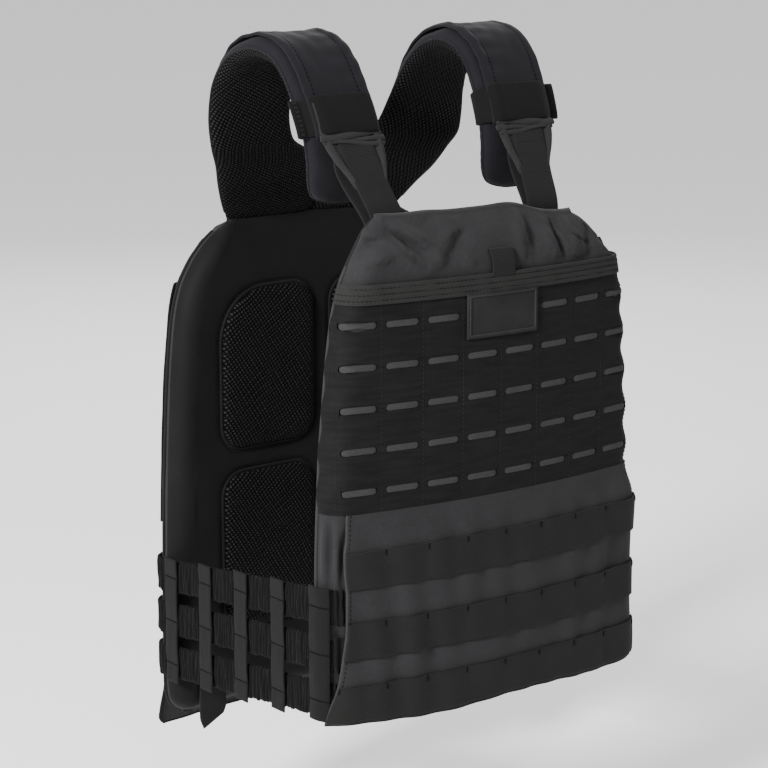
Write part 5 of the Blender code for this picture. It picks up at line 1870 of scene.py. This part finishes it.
def tongue(side, label):
    """A cloth leaf under the keeper that narrows to the webbing sewn down its middle."""
    middles, widths = tongue_rows(COVER_LIFT + COVER_THICK + SEAT)
    across = np.array([1.0, 0.0, 0.0])
    free = middles[:-SEWN_ROWS]
    half = widths[:-SEWN_ROWS, None] / 2 * across
    grid = ribbon(free - half, free + half, *LEAF_MESH)
    share = np.linspace(0, 1, LEAF_MESH[0])[:, None]
    wide = np.linspace(-1, 1, LEAF_MESH[1])[None]
    bead = hump(np.abs(wide) - LEAF_BEAD_AT, LEAF_BEAD_WIDE) * smooth_step(0.25, 0.45, share)
    thick = LEAF_THICK + LEAF_BEAD * bead * (1 - smooth_step(0.9, 1.0, share))
    place(sheet(f"leaf_{label}", mirrored(grid, side), (0, -1, 0.3), thick, LEAF_CLOTH), "cloth")
    line = middles[len(TONGUE_SPOTS) - 1:].copy()
    line[:-SEWN_ROWS] += WEBBING_LIFT
    half = WEBBING_WIDTH / 2 * across
    grid = mirrored(ribbon(line - half, line + half, *WEBBING_MESH), side)
    strap = sheet(f"front_webbing_{label}", grid, (0, -1, 0.2), WEBBING_SHOWN, WEBBING)
    place(strap, "webbing", f"strap_tongue_{label}")
    raised = grid + grid_normals(grid, np.array([0, -1, 0.2])) * WEBBING_SEAM
    low, high = BOX_ROWS
    box = [raised[low:high + 1, 1], raised[low:high + 1, -2], raised[low, 1:-1],
           raised[high, 1:-1]]
    stitches(f"webbing_box_{label}", box, THREAD, "webbing")


def crumples(side, label):
    """The slack of the leaf, gathered below the keeper in a few soft folds."""
    middles, _ = tongue_rows(COVER_LIFT + COVER_THICK + SEAT)
    start = middles[len(TONGUE_SPOTS) - 1]
    run = middles[-SEWN_ROWS] - start
    outward = unit(np.cross(np.array([1.0, 0.0, 0.0]), run))
    outward = outward * -np.sign(outward[1])
    for number, (along, wide, thick, reach, tilt, phase) in enumerate(CRUMPLES, 1):
        shift = np.linspace(-reach, reach, CRUMPLE_POINTS)
        down = along - tilt * 0.5 * shift + CRUMPLE_SWING * np.sin(shift * 90 + phase)
        lift = CRUMPLE_RISE + CRUMPLE_UNEVEN * np.sin(shift * 140 + 2 * phase) - 1.6 * shift ** 2
        path = start + run * down[:, None] + outward * lift[:, None]
        path[:, 0] += shift
        fat = 1 + 0.3 * np.sin(shift * 110 + 3 * phase)
        fold = rod(f"leaf_fold_{number}_{label}", mirrored(path, side), wide * fat, thick * fat,
                   FOLD_CLOTH, np.broadcast_to(mirrored(outward, side), path.shape), steps=6)
        place(fold, "cloth")


def anchor(side, label):
    """The webbing behind the tongue, from the pad down to where both are sewn in."""
    half = np.array([-1, 1]) * WEBBING_WIDTH / 2
    rows = [strap_point(np.float64(spot), beside(np.float64(spot), half), 1, SEAT)
            for spot in (ANCHOR_START, ANCHOR_END)]
    for drop in np.linspace(ANCHOR_DROP + ANCHOR_LOWER, ANCHOR_DROP + TONGUE_SEWN, 3):
        rows.append(FRONT.inner(WEBBING_X + half, np.full(2, FRONT.top - drop),
                                SEAT + TONGUE_THICK + SEAT + ANCHOR_THICK))
    rows = np.array(rows)
    grid = ribbon(rows[:, 0], rows[:, 1], 50, 11)
    webbing = sheet(f"anchor_webbing_{label}", mirrored(grid, side), (0, -1, 0.2), ANCHOR_THICK,
                    WEBBING)
    place(webbing, "webbing", f"strap_anchor_{label}")


def straps():
    for side, label in SIDES:
        strap_pad(side, label)
        strap_cover(side, label)
        keeper(side, label)
        tongue(side, label)
        crumples(side, label)
        anchor(side, label)


def hem_pulls():
    """Webbing ends below the back hem, a little askew."""
    share = np.linspace(0, 1, PULL_MESH[0])[:, None]
    wide = np.linspace(-1, 1, PULL_MESH[1])[None]
    x = PULL_X + PULL_WIDTH / 2 * through(PULL_KNOTS, PULL_SHARES, share) * wide
    y = BACK.inner(x, np.full_like(x, BACK.full), SEAT)[..., 1] - PULL_CURL * (1 - share) ** 2
    z = (BACK.bottom - PULL_SHOWN + (PULL_LENGTH - PULL_OVERHANG + PULL_SHOWN) * share
         - PULL_SLANT * (1 - share) * wide)
    grid = points_of(x, y, z)
    for side, label in SIDES:
        pull = sheet(f"pull_end_{label}", mirrored(grid, side), (0, -1, 0), PULL_THICK, WEBBING)
        place(pull, "webbing", f"hem_pull_{label}")


# Camera, light and floor

CAMERA_PLACE = (-1.202, -1.628, 0.151)
CAMERA_RIGHT = (0.8060, -0.5919, 0.0)
CAMERA_UP = (0.1241, 0.1689, 0.9778)
CAMERA_BACK = (-0.5788, -0.7881, 0.2096)
CAMERA_LENS = 112.5
SENSOR = 36
FLOOR_Z = -0.72
FLOOR_REACH = 20.0
FLOOR_WHITE = (0.95, 0.95, 0.95, 1)

Light = namedtuple("Light", "name place size power")
LIGHTS = (
    Light("key", (-2.6, -1.0, 1.15), 0.6, 235),
    Light("front_right", (1.9, -1.5, 0.5), 1.2, 1.5),
    Light("left_side", (-2.3, 0.5, 0.2), 1.0, 4),
    Light("above", (-0.2, 0.1, 2.0), 0.9, 15),
    Light("behind", (1.4, 2.4, 1.2), 1.5, 34),
)
WORLD_STRENGTH = 0.95
LIGHT_AIM = Vector((0.0, 0.0, -0.30))


def camera():
    data = bpy.data.cameras.new("camera")
    data.lens = CAMERA_LENS
    data.sensor_width = SENSOR
    obj = bpy.data.objects.new("camera", data)
    turn = Matrix((CAMERA_RIGHT, CAMERA_UP, CAMERA_BACK)).transposed().to_4x4()
    obj.matrix_world = Matrix.Translation(CAMERA_PLACE) @ turn
    bpy.context.scene.collection.objects.link(obj)
    bpy.context.scene.camera = obj


def lights():
    for light in LIGHTS:
        data = bpy.data.lights.new(light.name, "AREA")
        data.size = light.size
        data.energy = light.power
        obj = bpy.data.objects.new(light.name, data)
        obj.location = light.place
        aim = LIGHT_AIM - Vector(light.place)
        obj.rotation_euler = aim.to_track_quat("-Z", "Y").to_euler()
        bpy.context.scene.collection.objects.link(obj)
    world = bpy.data.worlds.new("studio")
    world.use_nodes = True
    world.node_tree.nodes["Background"].inputs["Color"].default_value = (1, 1, 1, 1)
    world.node_tree.nodes["Background"].inputs["Strength"].default_value = WORLD_STRENGTH
    bpy.context.scene.world = world


def floor():
    mesh = bpy.data.meshes.new("floor")
    mesh.from_pydata([(x * FLOOR_REACH, y * FLOOR_REACH, FLOOR_Z)
                      for x, y in ((-1, -1), (1, -1), (1, 1), (-1, 1))], [], [(0, 1, 2, 3)])
    finish, tree, shader = finish_nodes("floor_white", 0.9)
    shader.inputs["Base Color"].default_value = FLOOR_WHITE
    mesh.materials.append(finish)
    obj = bpy.data.objects.new("floor", mesh)
    bpy.context.scene.collection.objects.link(obj)


carriers()
slotted_panel()
lit_slot_cloth()
panel_stitches()
panel_tape()
blank_patch()
pull_tab()
front_flap()
back_panel()
back_flap()
cummerbund()
cushions()
straps()
hem_pulls()
camera()
lights()
floor()
